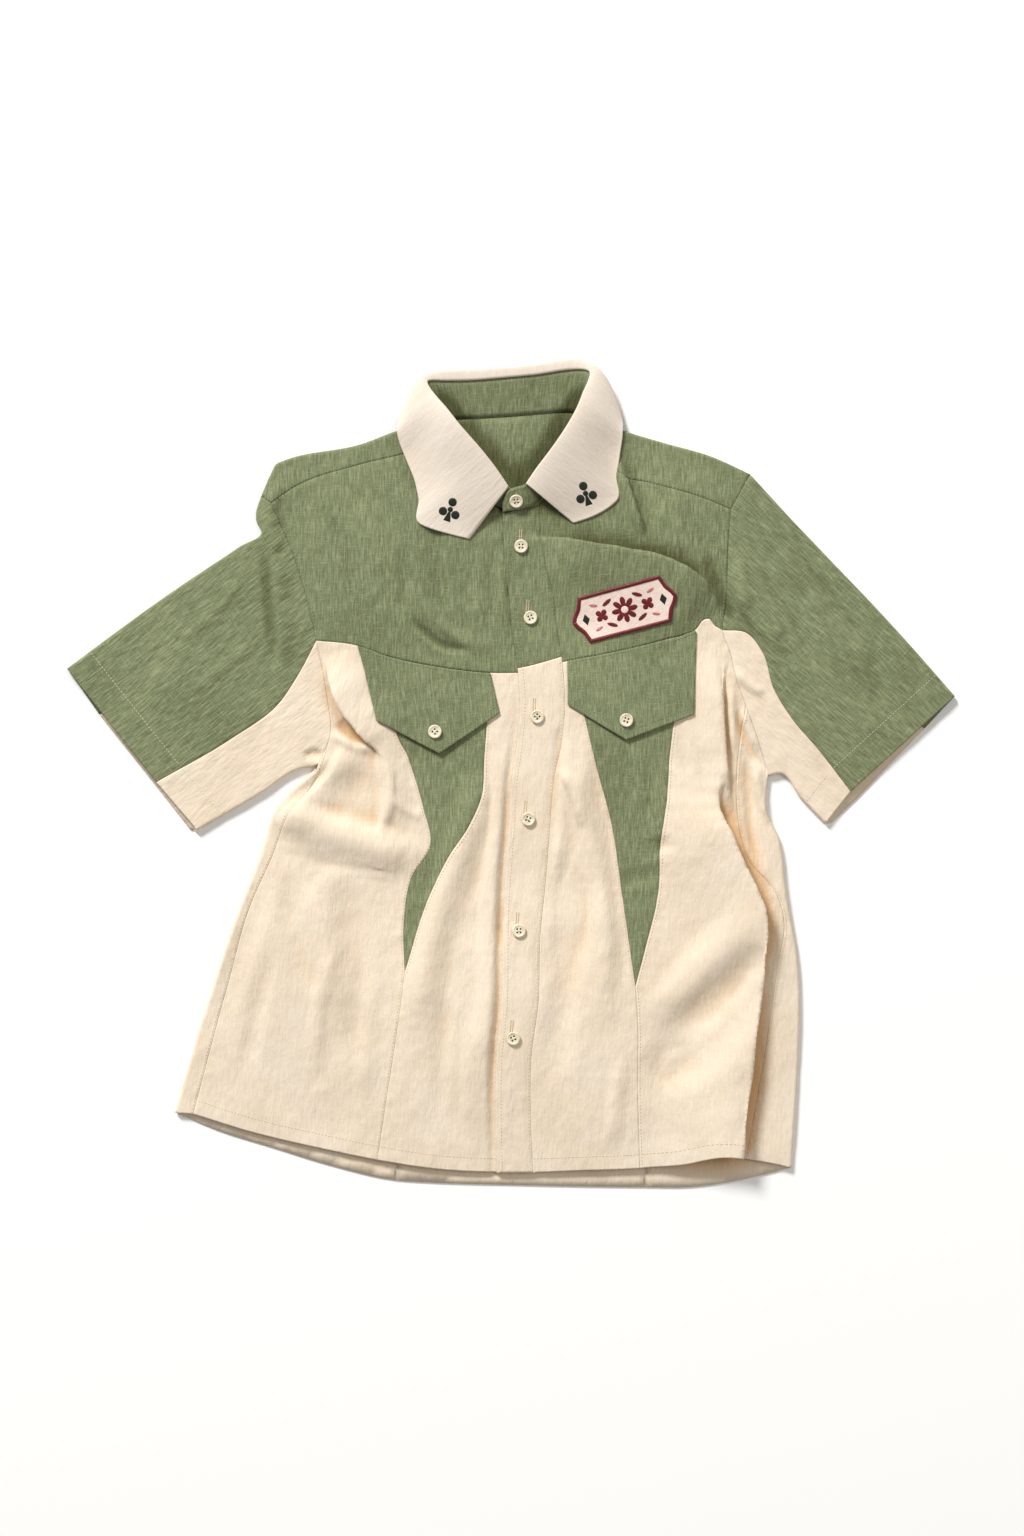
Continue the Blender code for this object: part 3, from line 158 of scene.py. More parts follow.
def smooth_curve(points, step=SEAM_STEP):
    """Points about `step` apart along a smooth curve through `points`, which are all among them."""
    points = np.array(points, float)
    lengths = np.linalg.norm(np.diff(points, axis=0), axis=1)
    slopes = np.diff(points, axis=0) / lengths[:, None]
    before, after = lengths[:-1, None], lengths[1:, None]
    inner = (slopes[:-1] * after + slopes[1:] * before) / (before + after)
    tangents = np.concatenate([slopes[:1], inner, slopes[-1:]])
    pieces = []
    for i, length in enumerate(lengths):
        count = max(1, round(length / step))
        t = (np.arange(count) / count)[:, None]
        pieces.append(
            points[i] * (1 + 2 * t) * (1 - t) ** 2
            + tangents[i] * length * t * (1 - t) ** 2
            + points[i + 1] * t * t * (3 - 2 * t)
            + tangents[i + 1] * length * t * t * (t - 1)
        )
    return np.concatenate([*pieces, points[-1:]])


def left_of(path):
    """The unit direction to the left of the way along a path, at each of its points."""
    tangents = np.gradient(path, axis=0)
    left = np.column_stack([-tangents[:, 1], tangents[:, 0]])
    return left / np.linalg.norm(left, axis=1)[:, None]


def lengths_along(line):
    """How far along a line each of its points is."""
    return np.concatenate([[0], np.cumsum(np.linalg.norm(np.diff(line, axis=0), axis=1))])


def places_along(line, lengths, at):
    """What a line of points has at the distances `at`, where its own points are at `lengths`."""
    return np.column_stack([np.interp(at, lengths, column) for column in line.T])


def near_to(line, points, reach):
    """Which points lie in the box round a line that is `reach` larger than it on every side."""
    return np.all((points > line.min(axis=0) - reach) & (points < line.max(axis=0) + reach), axis=1)


NEAR_BLEND = 3.0  # how softly a fold passes from one stretch of its path to the next


def nearest_on(path, points):
    """For each point, the signed distance to a path (left of it is above 0), the share of the path's length
    at the nearest place, and the direction to the path's left there, both blended along the path."""
    starts, steps = path[:-1], np.diff(path, axis=0)
    lengths = np.linalg.norm(steps, axis=1)
    along = np.concatenate([[0], np.cumsum(lengths)])
    from_start = points[:, None] - starts
    t = np.clip(np.sum(from_start * steps, axis=2) / lengths**2, 0, 1)
    offset = from_start - t[:, :, None] * steps
    distance = np.linalg.norm(offset, axis=2)
    rows = np.arange(len(points))
    nearest = np.argmin(distance, axis=1)
    lefts = np.column_stack([-steps[:, 1], steps[:, 0]]) / lengths[:, None]
    side = np.where(np.sum(offset[rows, nearest] * lefts[nearest], axis=1) < 0, -1, 1)
    weights = np.exp((distance[rows, nearest][:, None] - distance) / NEAR_BLEND)
    weights /= weights.sum(axis=1)[:, None]
    share = np.sum(weights * (along[:-1] + t * lengths), axis=1) / along[-1]
    return distance[rows, nearest] * side, share, weights @ lefts


def distance_to(path, points):
    """The distance from each point to a path."""
    starts, steps = path[:-1], np.diff(path, axis=0)
    from_start = points[:, None] - starts
    t = np.clip(np.sum(from_start * steps, axis=2) / np.sum(steps**2, axis=1), 0, 1)
    return np.min(np.linalg.norm(from_start - t[:, :, None] * steps, axis=2), axis=1)


def fold_form(fold, path, points):
    """Which points a fold reaches, how high it stands there, from 0 to 1, and the way it leans."""
    near = np.flatnonzero(near_to(path, points, max(fold.behind, fold.ahead)))
    if not len(near):
        return near, np.zeros(0), np.zeros((0, 2))
    signed, share, left = nearest_on(path, points[near])
    width = np.where(signed > 0, fold.ahead, fold.behind)
    form = np.cos(np.clip(np.abs(signed) / width, 0, 1) * math.pi / 2) ** 2
    return near, form * growth(fold, share), left


def growth(fold, share):
    """How far a fold has grown at a share of its length, from 0 to 1."""
    grown = smooth_step(share / fold.start) if fold.start else np.ones(len(share))
    return grown * (smooth_step((1 - share) / fold.end) if fold.end else 1)


def flat_path(fold):
    """The line on the flat cloth that a fold lifts to its crest."""
    seen = smooth_curve(fold.path, FOLD_PATH_STEP)
    grown = growth(fold, np.linspace(0, 1, len(seen)))
    return seen - left_of(seen) * (fold.lean * grown)[:, None]


FOLD_PATHS = [flat_path(fold) for fold in FOLDS]


def neck_rise(points):
    """How far both sheets rise at the neck, over the collar's fall."""
    rise = smooth_step((points[:, 1] - NECK_RISE_FROM) / (NECK_RISE_TO - NECK_RISE_FROM))
    return NECK_RISE * rise * smooth_step((NECK_HALF_WIDTH - np.abs(points[:, 0])) / NECK_FADE)


def front(points):
    """Where points of the flat front sheet lie: x and y with each fold's lean, and the height of the middle
    of the cloth."""
    points = np.asarray(points, float)
    plan = points.copy()
    height = FRONT_LEVEL + neck_rise(points)
    for swell in SWELLS:
        reach = np.hypot(
            (points[:, 0] - swell.x) / swell.half_width, (points[:, 1] - swell.y) / swell.half_length
        )
        height += swell.rise * np.cos(np.clip(reach, 0, 1) * math.pi / 2) ** 2
    for fold, path in zip(FOLDS, FOLD_PATHS):
        near, form, left = fold_form(fold, path, points)
        height[near] += fold.rise * form
        plan[near] += left * (fold.lean * form)[:, None]
    return np.column_stack([plan, np.maximum(height, FRONT_LEVEL + neck_rise(points))])


def back(points):
    """Where points of the flat back sheet lie: on the ground, but for the neck."""
    points = np.asarray(points, float)
    return np.column_stack([points, BACK_LEVEL + neck_rise(points)])


FLAT_ROUNDS, FLAT_SHARE = 30, 0.6  # guesses at a place on the flat sheet, and how far each takes up the miss
FACING_STEP = 0.5  # over which the way that the sheet faces is measured


def flat(points):
    """The points of the flat front sheet that show at these places from above."""
    points = np.array(points, float)
    guess = points.copy()
    for _ in range(FLAT_ROUNDS):
        guess += FLAT_SHARE * (points - front(guess)[:, :2])
    return guess


def normals_of(points):
    """Which way the front sheet faces at points of the flat sheet."""
    step = FACING_STEP
    across = front(points + (step, 0)) - front(points - (step, 0))
    along = front(points + (0, step)) - front(points - (0, step))
    normal = np.cross(across, along)
    return normal / np.linalg.norm(normal, axis=1)[:, None]


# ---------------------------------------------------------------- lines on the flat sheets


def curve(points):
    """A smooth line on the flat front sheet, through the places that show at `points` from above."""
    return smooth_curve(flat(points))


def back_curve(points):
    """A smooth line on the flat back sheet."""
    return smooth_curve(points, BACK_SEAM_STEP)


def bent(points):
    """Straight runs from each of `points` to the next, as seen from above."""
    runs = [straight_as_seen(one, other)[:-1] for one, other in zip(points, points[1:])]
    return np.concatenate([*runs, flat(points[-1:])])


def straight(first, last):
    """A straight line on a flat sheet."""
    return np.array([first, last], float)


def straight_as_seen(first, last):
    """A line on the front sheet that shows straight from above."""
    count = max(2, round(math.dist(first, last) / SEAM_STEP) + 1)
    return flat(np.linspace(first, last, count))


def place_on(line, point):
    """How far along a line its nearest place to a point is, counted in its own points, and that place."""
    steps = np.diff(line, axis=0)
    t = np.clip(np.sum((point - line[:-1]) * steps, axis=1) / np.sum(steps**2, axis=1), 0, 1)
    places = line[:-1] + t[:, None] * steps
    nearest = int(np.argmin(np.linalg.norm(places - point, axis=1)))
    return nearest + t[nearest], places[nearest]


ON_A_POINT = 1e-6  # a place this close to one of a line's own points, counted in points, is that point


def between(line, first, last):
    """The stretch of a line from its nearest place to `first` to its nearest place to `last`."""
    start, start_place = place_on(line, first)
    stop, stop_place = place_on(line, last)
    low, high = sorted((start, stop))
    inner = line[math.floor(low + 1 + ON_A_POINT) : math.ceil(high - ON_A_POINT)]
    if start > stop:
        inner = inner[::-1]
    return np.concatenate([[start_place], inner, [stop_place]])


def cross(one, other):
    """The cross product of two directions in the plane, which is 0 where they are parallel."""
    return one[0] * other[1] - one[1] * other[0]


def crossing(one, other):
    """Where two lines cross."""
    for a, b in zip(one, one[1:]):
        for c, d in zip(other, other[1:]):
            spread = cross(b - a, d - c)
            if abs(spread) < TINY:
                continue
            s, t = cross(c - a, d - c) / spread, cross(c - a, b - a) / spread
            if 0 <= s <= 1 and 0 <= t <= 1:
                return a + s * (b - a)
    raise ValueError("the lines do not cross")


# ---------------------------------------------------------------- seams, folds and edges

# A seam or an edge has one name on each side of the shirt: LEFT and RIGHT are the wearer's. The outline,
# where the cloth turns under, is the same line on both flat sheets.
RIGHT_SHOULDER_FOLD = smooth_curve([(-64, 308), (-98, 298), (-131, 286), (-197, 272), (-204, 269),
                                    (-208, 262), (-217, 241)])
LEFT_SHOULDER_FOLD = smooth_curve([(62, 312), (97, 298), (130, 288), (175, 275), (208, 260)])
RIGHT_SLEEVE_FOLD = smooth_curve([(-217, 241), (-222, 224), (-221, 217), (-217, 210), (-236, 197),
                                  (-300, 154), (-386, 91)])
LEFT_SLEEVE_FOLD = smooth_curve([(208, 260), (240, 225), (278, 185), (318, 143), (350, 108), (386, 67)])
RIGHT_UNDERARM_FOLD = smooth_curve([(-272, -50), (-214, -16), (-184, 3), (-168, 6)])
LEFT_UNDERARM_FOLD = smooth_curve([(273, -44), (251, -21), (234, -1), (224, -3)])
RIGHT_SIDE_FOLD = smooth_curve([(-168, 6), (-204, -31), (-218, -72), (-235, -114), (-266, -206),
                                (-292, -295)])
LEFT_SIDE_FOLD = smooth_curve([(224, -3), (222, -30), (233, -57), (239, -102), (250, -170), (251, -208),
                               (249, -264), (244, -343)])

BACK_NECK = back_curve([(62, 312), (50, 315), (30, 315), (-3, 312), (-36, 311), (-52, 311), (-64, 308)])
BACK_YOKE_SEAM = back_curve([(-177, 107), (-97, 103), (8, 100), (112, 105), (191, 116)])
RIGHT_BACK_ARMHOLE = back_curve([(-217, 241), (-197, 203), (-184, 151), (-177, 107), (-170, 50), (-168, 6)])
LEFT_BACK_ARMHOLE = back_curve([(208, 260), (193, 185), (191, 116), (205, 46), (224, -3)])
RIGHT_BACK_SEAM = back_curve([(-97, 103), (-92, -100), (-100, -354)])
LEFT_BACK_SEAM = back_curve([(112, 105), (106, -100), (117, -360)])
RIGHT_SLEEVE_BACK_SEAM = back_curve([(-358, 51), (-271, 68), (-177, 107)])
LEFT_SLEEVE_BACK_SEAM = back_curve([(360, 39), (278, 72), (191, 116)])
RIGHT_BACK_CUFF = bent([(-386, 91), (-358, 51), (-297, -26), (-279, -49), (-272, -50)])
LEFT_BACK_CUFF = bent([(386, 67), (360, 39), (301, -22), (279, -43), (273, -44)])
BACK_HEM = back_curve([(-292, -295), (-254, -311), (-209, -325), (-157, -341), (-100, -354), (-70, -356),
                       (0, -358), (117, -360), (156, -360), (199, -354), (244, -343)])

LEFT_NECK = curve([(24, 234), (38, 252), (50, 272), (58, 293)])
RIGHT_NECK = curve([(-60, 288), (-50, 268), (-34, 250), (-18, 234)])
RIGHT_SHOULDER_SEAM = curve([(-60, 288), (-94, 277), (-131, 268), (-192, 246), (-208, 234)])
LEFT_SHOULDER_SEAM = curve([(58, 293), (101, 257), (124, 251), (164, 240), (191, 229)])
RIGHT_SLEEVE_HEAD = curve([(-217, 241), (-208, 234)])
LEFT_SLEEVE_HEAD = curve([(208, 260), (191, 229)])
RIGHT_ARMHOLE = curve([(-208, 234), (-190, 192), (-180, 161), (-169, 115), (-160, 68), (-157, 33), (-168, 6)])
LEFT_ARMHOLE = curve([(191, 229), (189, 200), (188, 173), (187, 146), (184, 124), (191, 103), (196, 81),
                      (204, 59), (213, 34), (224, -3)])

RIGHT_YOKE_SEAM = curve([(-169, 115), (-135, 111), (-109, 102), (-62, 92), (-18, 87), (16, 87)])
LEFT_YOKE_SEAM = curve([(28, 92), (53, 98), (75, 102), (116, 111), (150, 120), (161, 125), (167, 133),
                        (172, 134), (177, 128), (184, 124)])
RIGHT_INSERT_OUTER = curve([(-109, 102), (-99, 33), (-86, 4), (-76, -30), (-70, -63), (-86, -90), (-93, -132),
                            (-92, -173)])
RIGHT_INSERT_INNER = curve([(-18, 87), (-23, 15), (-26, -22), (-37, -47), (-54, -73), (-71, -108),
                            (-92, -173)])
RIGHT_FRONT_SEAM = curve([(-92, -173), (-99, -225), (-106, -270), (-116, -336)])
LEFT_INSERT_INNER = curve([(53, 98), (75, 3), (87, -42), (97, -108), (108, -185)])
LEFT_INSERT_OUTER = curve([(150, 120), (137, 3), (130, -61), (128, -103), (117, -151), (108, -185)])
LEFT_FRONT_SEAM = curve([(108, -185), (110, -218), (110, -272), (112, -343)])
RIGHT_SIDE_SEAM = curve([(-157, 33), (-166, 1), (-193, -36), (-208, -74), (-226, -114), (-246, -184),
                         (-276, -296)])
LEFT_SIDE_SEAM = curve([(204, 59), (197, 11), (196, -23), (207, -76), (231, -106), (237, -128), (231, -170),
                        (224, -218), (215, -274), (204, -335)])
RIGHT_SLEEVE_SEAM = curve([(-308, -8), (-244, 29), (-202, 60), (-185, 85), (-169, 115)])
LEFT_SLEEVE_SEAM = curve([(295, -16), (268, 19), (242, 50), (228, 74), (219, 104), (204, 122), (184, 124)])
RIGHT_CUFF = bent([(-386, 91), (-308, -8), (-291, -28), (-272, -50)])
LEFT_CUFF = bent([(386, 67), (295, -16), (273, -44)])
RIGHT_HEM = curve([(-276, -296), (-228, -311), (-165, -326), (-116, -336), (-62, -344), (-9.2, -347)])
LEFT_HEM = curve([(14.1, -347), (64, -345), (112, -343), (147, -340), (181, -333), (204, -335)])
RIGHT_HEM_TURN = curve([(-292, -295), (-276, -296)])
LEFT_HEM_TURN = curve([(204, -335), (231, -340), (244, -343)])

# The placket down the front: height up the shirt, free edge, and the line where it is sewn on.
PLACKET = (
    (240, -7.6, 24.6),
    (212, -6.8, 25.6),
    (203, -6.5, 26.1),
    (195, -5.9, 27.2),
    (187, -5.3, 29.0),
    (175, -4.3, 31.3),
    (150, -1.1, 37.4),
    (124, 0.9, 40.5),
    (97, 5.2, 44.4),
    (58, 7.8, 47.0),
    (29, 5.7, 44.4),
    (-5, 0.9, 37.4),
    (-47, -1.7, 33.9),
    (-96, -5.2, 30.0),
    (-144, -7.0, 25.2),
    (-197, -7.8, 23.9),
    (-250, -12.6, 17.4),
    (-295, -13.1, 17.0),
    (-347, -12.2, 19.1),
)
FREE_EDGE, SEWN_EDGE = 1, 2
STAND_SEAM = curve([(-16, 222), (-7, 225), (8, 227.4), (27, 233), (38, 238)])
PLACKET_JOIN = curve([(-6, 90), (6, 91), (24, 95), (44, 101), (56, 105)])
BAND_UNDERLAP = 3.0  # how far the right front ends inside the placket's free edge
BAND_INSIDE = 8.0  # how far the button band ends inside the placket's sewn edge


def down_the_front(edge, shift=0.0):
    """One long edge of the placket, or a line beside it, from the collar stand to the hem."""
    line = curve([(row[edge] + shift, row[0]) for row in PLACKET])
    return between(line, crossing(line, STAND_SEAM), line[-1])


PLACKET_FREE_EDGE = down_the_front(FREE_EDGE)
PLACKET_SEWN_EDGE = down_the_front(SEWN_EDGE)
RIGHT_FRONT_EDGE = down_the_front(FREE_EDGE, BAND_UNDERLAP)
BAND_EDGE = down_the_front(SEWN_EDGE, -BAND_INSIDE)

# ---------------------------------------------------------------- pieces between the seams

# A region is the area between its sides on one of the two sheets. The rows of a side are how far in from it
# its rows of stitches run.
Region = namedtuple("Region", "sheet sides")
Side = namedtuple("Side", "line kind rows")
# How far inside its line the cloth ends. A flush side is a seam that is pressed flat, without a groove, a
# free side is a cut or hemmed edge, and at a turn the cloth goes round to the other sheet.
INSETS = {"seam": 0.03, "flush": 0.03, "free": 0.0, "turn": FOLD_RADIUS + WALL / 2}
SAME_PLACE = 0.05  # points closer together than this are one corner


def sides_of_kind(kind):
    """What makes sides of one kind: each along a line, or along its stretch from `first` to `last`."""

    def made(line, first=None, last=None, rows=()):
        """One side of this kind."""
        return Side(line if first is None else between(line, first, last), kind, rows)

    return made


seam, flush, free, turn = (sides_of_kind(kind) for kind in ("seam", "flush", "free", "turn"))


def in_a_chain(lines):
    """The lines in this order, each turned round where that makes it follow on from the one before."""
    lines = list(lines)
    ends = [np.linalg.norm(lines[0][k] - lines[1][j]) for k in (0, -1) for j in (0, -1)]
    if min(ends[:2]) < min(ends[2:]):
        lines[0] = lines[0][::-1]
    for i in range(1, len(lines)):
        end = lines[i - 1][-1]
        if np.linalg.norm(lines[i][-1] - end) < np.linalg.norm(lines[i][0] - end):
            lines[i] = lines[i][::-1]
    return lines


def signed_area(corners):
    """The area inside an outline, above 0 where it runs counter-clockwise."""
    x, y = corners.T
    return np.sum(x * np.roll(y, -1) - np.roll(x, -1) * y) / 2


def joined(sides):
    """The corners of an outline along these sides, counter-clockwise, and the number of the side that starts
    at each corner."""
    corners, owners = [], []
    for index, line in enumerate(in_a_chain(side.line for side in sides)):
        for point in line:
            if corners and np.linalg.norm(point - corners[-1]) < SAME_PLACE:
                owners[-1] = index
                continue
            corners.append(point)
            owners.append(index)
    if np.linalg.norm(corners[0] - corners[-1]) < SAME_PLACE:
        corners.pop()
        owners.pop()
    corners = np.array(corners)
    if signed_area(corners) < 0:
        corners = corners[::-1]
        owners = owners[-2::-1] + owners[-1:]
    return corners, owners


def inward_normals(corners):
    """Which way is in from each edge of a counter-clockwise outline."""
    edges = np.roll(corners, -1, axis=0) - corners
    return np.column_stack([-edges[:, 1], edges[:, 0]]) / np.linalg.norm(edges, axis=1)[:, None]


NEARLY_STRAIGHT = 0.12  # the sine of a bend at a corner that needs no mitre
LONGEST_MITRE = 2.2  # times the larger inset


def shrunk(corners, kinds, normals):
    """Each corner moved inwards, so that its two edges lie inside the outline by their own insets."""
    moved = corners.copy()
    for i in range(len(corners)):
        before, after = INSETS[kinds[i - 1]], INSETS[kinds[i]]
        if abs(cross(normals[i - 1], normals[i])) < NEARLY_STRAIGHT:
            shift = (normals[i - 1] + normals[i]) * (before + after) / 4
        else:
            shift = np.linalg.solve([normals[i - 1], normals[i]], [before, after])
        longest = LONGEST_MITRE * max(before, after)
        moved[i] += shift * min(1, longest / max(np.linalg.norm(shift), TINY))
    return moved


def inside(points, corners):
    """Which points lie inside a closed outline."""
    x, y = points[:, :1], points[:, 1:]
    x0, y0 = corners.T
    x1, y1 = np.roll(corners, -1, axis=0).T
    crosses = (y0 > y) != (y1 > y)
    with np.errstate(divide="ignore", invalid="ignore"):
        meets = x < (x1 - x0) * (y - y0) / (y1 - y0) + x0
    return np.sum(crosses & meets, axis=1) % 2 == 1


def clear_of(points, others, distance):
    """Which points lie further than `distance` from every one of the others."""
    if not len(others):
        return np.ones(len(points), bool)
    tree = KDTree(len(others))
    for index, (x, y) in enumerate(others):
        tree.insert((x, y, 0), index)
    tree.balance()
    return np.array([tree.find((x, y, 0))[2] > distance for x, y in points], bool)


def lattice(corners, cell):
    """A net of equal triangles over an outline."""
    low, high = corners.min(axis=0), corners.max(axis=0)
    rows = np.arange(low[1], high[1], cell * math.sqrt(3) / 2)
    columns = np.arange(low[0] - cell, high[0], cell)
    return np.array([(x + cell / 2 * (k % 2), y) for k, y in enumerate(rows) for x in columns])


STEEP_LEAN = 0.5  # a fold that leans by this share of its width ahead, or more, has a steep side
FOLD_ROW_STEP, FOLD_ROW_GAP = 3.5, 0.8  # between points along a row, and between points of two rows
FOLD_ROW_SHARES = np.arange(-0.3, 1.05, 0.13)  # where the rows run, as shares of the fold's width


def rows_along_folds():
    """Points in close rows along each fold with a steep side, so that it stays smooth."""
    rows = np.empty((0, 2))
    for fold, path in zip(FOLDS, FOLD_PATHS):
        if fold.lean < STEEP_LEAN * fold.ahead:
            continue
        lengths = lengths_along(path)
        fine = places_along(path, lengths, np.arange(0, lengths[-1], FOLD_ROW_STEP))
        for share in FOLD_ROW_SHARES:
            row = fine + left_of(fine) * share * (fold.ahead if share > 0 else fold.behind)
            rows = np.concatenate([rows, row[clear_of(row, rows, FOLD_ROW_GAP)]])
    return rows


FOLD_POINTS = rows_along_folds()

# ---------------------------------------------------------------- colours and materials


def linear(colour):
    """The linear values of an sRGB colour such as "#F2E2C6"."""
    parts = [int(colour[k : k + 2], 16) / 255 for k in (1, 3, 5)]
    return (*(p / 12.92 if p <= 0.04045 else ((p + 0.055) / 1.055) ** 2.4 for p in parts), 1.0)


def add(tree, kind, inputs=None, **settings):
    """A new node with its settings. An input is a value, or a socket that is linked to it."""
    made = tree.nodes.new("ShaderNode" + kind)
    for name, value in settings.items():
        setattr(made, name, value)
    for name, value in (inputs or {}).items():
        if isinstance(value, bpy.types.NodeSocket):
            tree.links.new(value, made.inputs[name])
        else:
            made.inputs[name].default_value = value
    return made


def new_material(name, **shader_values):
    """An empty Principled material, and its tree and shader."""
    made = bpy.data.materials.new(name)
    made.use_nodes = True
    shader = made.node_tree.nodes["Principled BSDF"]
    for socket, value in shader_values.items():
        shader.inputs[socket.replace("_", " ")].default_value = value
    return made, made.node_tree, shader


def streaks(tree, where, across, along, detail=2.0):
    """Noise whose spots are `across` wide and `along` long, in millimetres of cloth."""
    scaled = add(tree, "Mapping", {"Vector": where, "Scale": (1 / across, 1 / along, 1)})
    return add(tree, "TexNoise", {"Vector": scaled.outputs[0], "Scale": 1.0, "Detail": detail}).outputs[0]


def ramp(tree, value, low, high, to_low=0.0, to_high=1.0):
    """A value between low and high brought to the same place between to_low and to_high."""
    return add(tree, "MapRange", {0: value, 1: low, 2: high, 3: to_low, 4: to_high}).outputs[0]


def mixed(tree, share, one, other, blend="MIX"):
    """One colour with a share of the other."""
    made = add(tree, "Mix", {0: share, 6: one, 7: other}, data_type="RGBA", blend_type=blend)
    return made.outputs[2]


# How large the patterns in cotton are, across the warp and along it. Real yarns lie about 0.35 mm apart,
# which is too fine to show, so they are drawn wider.
UNEVEN_DYE = (55, 70)
WARP_YARN, SLUB, WEFT_YARN, YARN_GRAIN = (0.75, 9.0), (1.2, 14.0), (12.0, 1.0), (0.8, 1.1)
FINE_CRINKLE, BROAD_CRINKLE = (2.4, 9.0), (7.0, 18.0)
THREAD_TWIST, RESIN_CLOUD = 2500.0, 260.0  # spots to a metre: 0.4 mm and about 4 mm wide


def cotton(name, base, shade, light, painted_shade_colour, *, slub_dark, slub_light, melange, bump, roughness):
    """Plain-weave cotton: uneven yarns as streaks both ways, a fine grain, a crinkled face, and a deeper
    colour painted down in the folds as painted shade, for the warm light that the cloth throws on itself
    there."""
    made, tree, shader = new_material(name, Roughness=roughness, Specular_IOR_Level=0.25, Sheen_Weight=0.12,
                                      Sheen_Roughness=0.5)
    where = add(tree, "UVMap", uv_map="pattern").outputs[0]
    dye = streaks(tree, where, *UNEVEN_DYE)
    colour = mixed(tree, ramp(tree, dye, 0.35, 0.65, 0, 0.5), linear(base), linear(shade))
    warp = streaks(tree, where, *WARP_YARN)
    slub = streaks(tree, where, *SLUB, 3.0)
    weft = streaks(tree, where, *WEFT_YARN)
    grain = streaks(tree, where, *YARN_GRAIN, 3.0)
    colour = mixed(tree, ramp(tree, warp, 0.52, 0.72, 0, slub_dark), colour, linear(shade))
    colour = mixed(tree, ramp(tree, slub, 0.50, 0.68, 0, slub_dark), colour, linear(shade))
    colour = mixed(tree, ramp(tree, slub, 0.50, 0.34, 0, slub_light), colour, linear(light))
    colour = mixed(tree, ramp(tree, weft, 0.54, 0.74, 0, slub_light), colour, linear(light))
    colour = mixed(tree, ramp(tree, grain, 0.35, 0.65, 0, melange), colour, linear(light))
    # Painted shade: the colour is multiplied by a deeper one where the cloth lies down in a fold, by the
    # share that the painted fold shade attribute gives.
    painted_fold_shade = add(tree, "Attribute", attribute_name="painted_fold_shade").outputs["Fac"]
    colour = mixed(tree, painted_fold_shade, colour, linear(painted_shade_colour), "MULTIPLY")
    crinkle = streaks(tree, where, *FINE_CRINKLE, 3.0)
    wrinkle = streaks(tree, where, *BROAD_CRINKLE, 3.0)
    low = add(tree, "Bump", {"Height": wrinkle, "Strength": bump, "Distance": 2.0 * MM})
    middle = add(tree, "Bump", {"Height": crinkle, "Strength": bump, "Distance": 0.9 * MM,
                                "Normal": low.outputs[0]})
    fine = add(tree, "Bump", {"Height": grain, "Strength": 0.5, "Distance": 0.2 * MM,
                              "Normal": middle.outputs[0]})
    tree.links.new(colour, shader.inputs["Base Color"])
    tree.links.new(fine.outputs[0], shader.inputs["Normal"])
    return made


def thread(name, colour):
    """Sewing thread: a soft sheen along the twist."""
    made, tree, shader = new_material(name, Roughness=0.6, Sheen_Weight=0.3)
    where = add(tree, "TexCoord").outputs["Object"]
    twist = add(tree, "TexNoise", {"Vector": where, "Scale": THREAD_TWIST})
    shade = mixed(tree, ramp(tree, twist.outputs[0], 0.35, 0.65, 0, 0.3), linear(colour), linear("#3A3427"))
    tree.links.new(shade, shader.inputs["Base Color"])
    return made


def resin(name):
    """Button resin: glossy, faintly clouded, and lets a little light in."""
    made, tree, shader = new_material(name, Roughness=0.28, Coat_Weight=0.35, Coat_Roughness=0.15,
                                      Subsurface_Weight=0.12, Subsurface_Radius=(0.002, 0.0016, 0.001))
    where = add(tree, "TexCoord").outputs["Object"]
    cloud = add(tree, "TexNoise", {"Vector": where, "Scale": RESIN_CLOUD, "Detail": 3.0}).outputs[0]
    tree.links.new(mixed(tree, ramp(tree, cloud, 0.35, 0.7), linear("#F1E8D2"), linear("#D9CBA9")),
                   shader.inputs["Base Color"])
    return made


def embroidery(name, colour, shade, across, along):
    """Satin stitches that lie side by side: a ridge for each thread, and a gloss along them."""
    made, tree, shader = new_material(name, Roughness=0.5, Sheen_Weight=0.35, Sheen_Roughness=0.35)
    where = add(tree, "UVMap", uv_map="pattern").outputs[0]
    ridges = streaks(tree, where, across, along, 1.0)
    tree.links.new(mixed(tree, ramp(tree, ridges, 0.35, 0.65), linear(colour), linear(shade)),
                   shader.inputs["Base Color"])
    bump = add(tree, "Bump", {"Height": ridges, "Strength": 0.7, "Distance": 0.3 * MM})
    tree.links.new(bump.outputs[0], shader.inputs["Normal"])
    return made


# Green yarn woven with pale: a dull, streaky sage, with a greyer painted shade down in the folds.
GREEN = cotton("green chambray cotton", "#777F59", "#535B3B", "#A8AE8A", "#B4AF96",
               slub_dark=0.70, slub_light=0.38, melange=0.28, bump=0.75, roughness=0.85)
# Yarn of one colour: an even, matt cream, with a warm painted shade down in the folds.
CREAM = cotton("cream cotton", "#E9D9C3", "#DBC5A6", "#F5EAD9", "#EBD3B4",
               slub_dark=0.24, slub_light=0.24, melange=0.22, bump=0.48, roughness=0.80)
# Cotton stuck to a stiff lining: the same cloth, but smoother, and with the same warm painted shade down in
# the folds.
IVORY = cotton("fused ivory cotton", "#E6D8C9", "#D7C8B4", "#F0E7DB", "#EFDCC2",
               slub_dark=0.30, slub_light=0.25, melange=0.25, bump=0.26, roughness=0.75)
GREEN_THREAD = thread("green sewing thread", "#8C9A76")
CREAM_THREAD = thread("cream sewing thread", "#E9D5B0")
LIGHT_THREAD = thread("ivory sewing thread", "#EFE4CE")
RESIN = resin("ivory button resin")
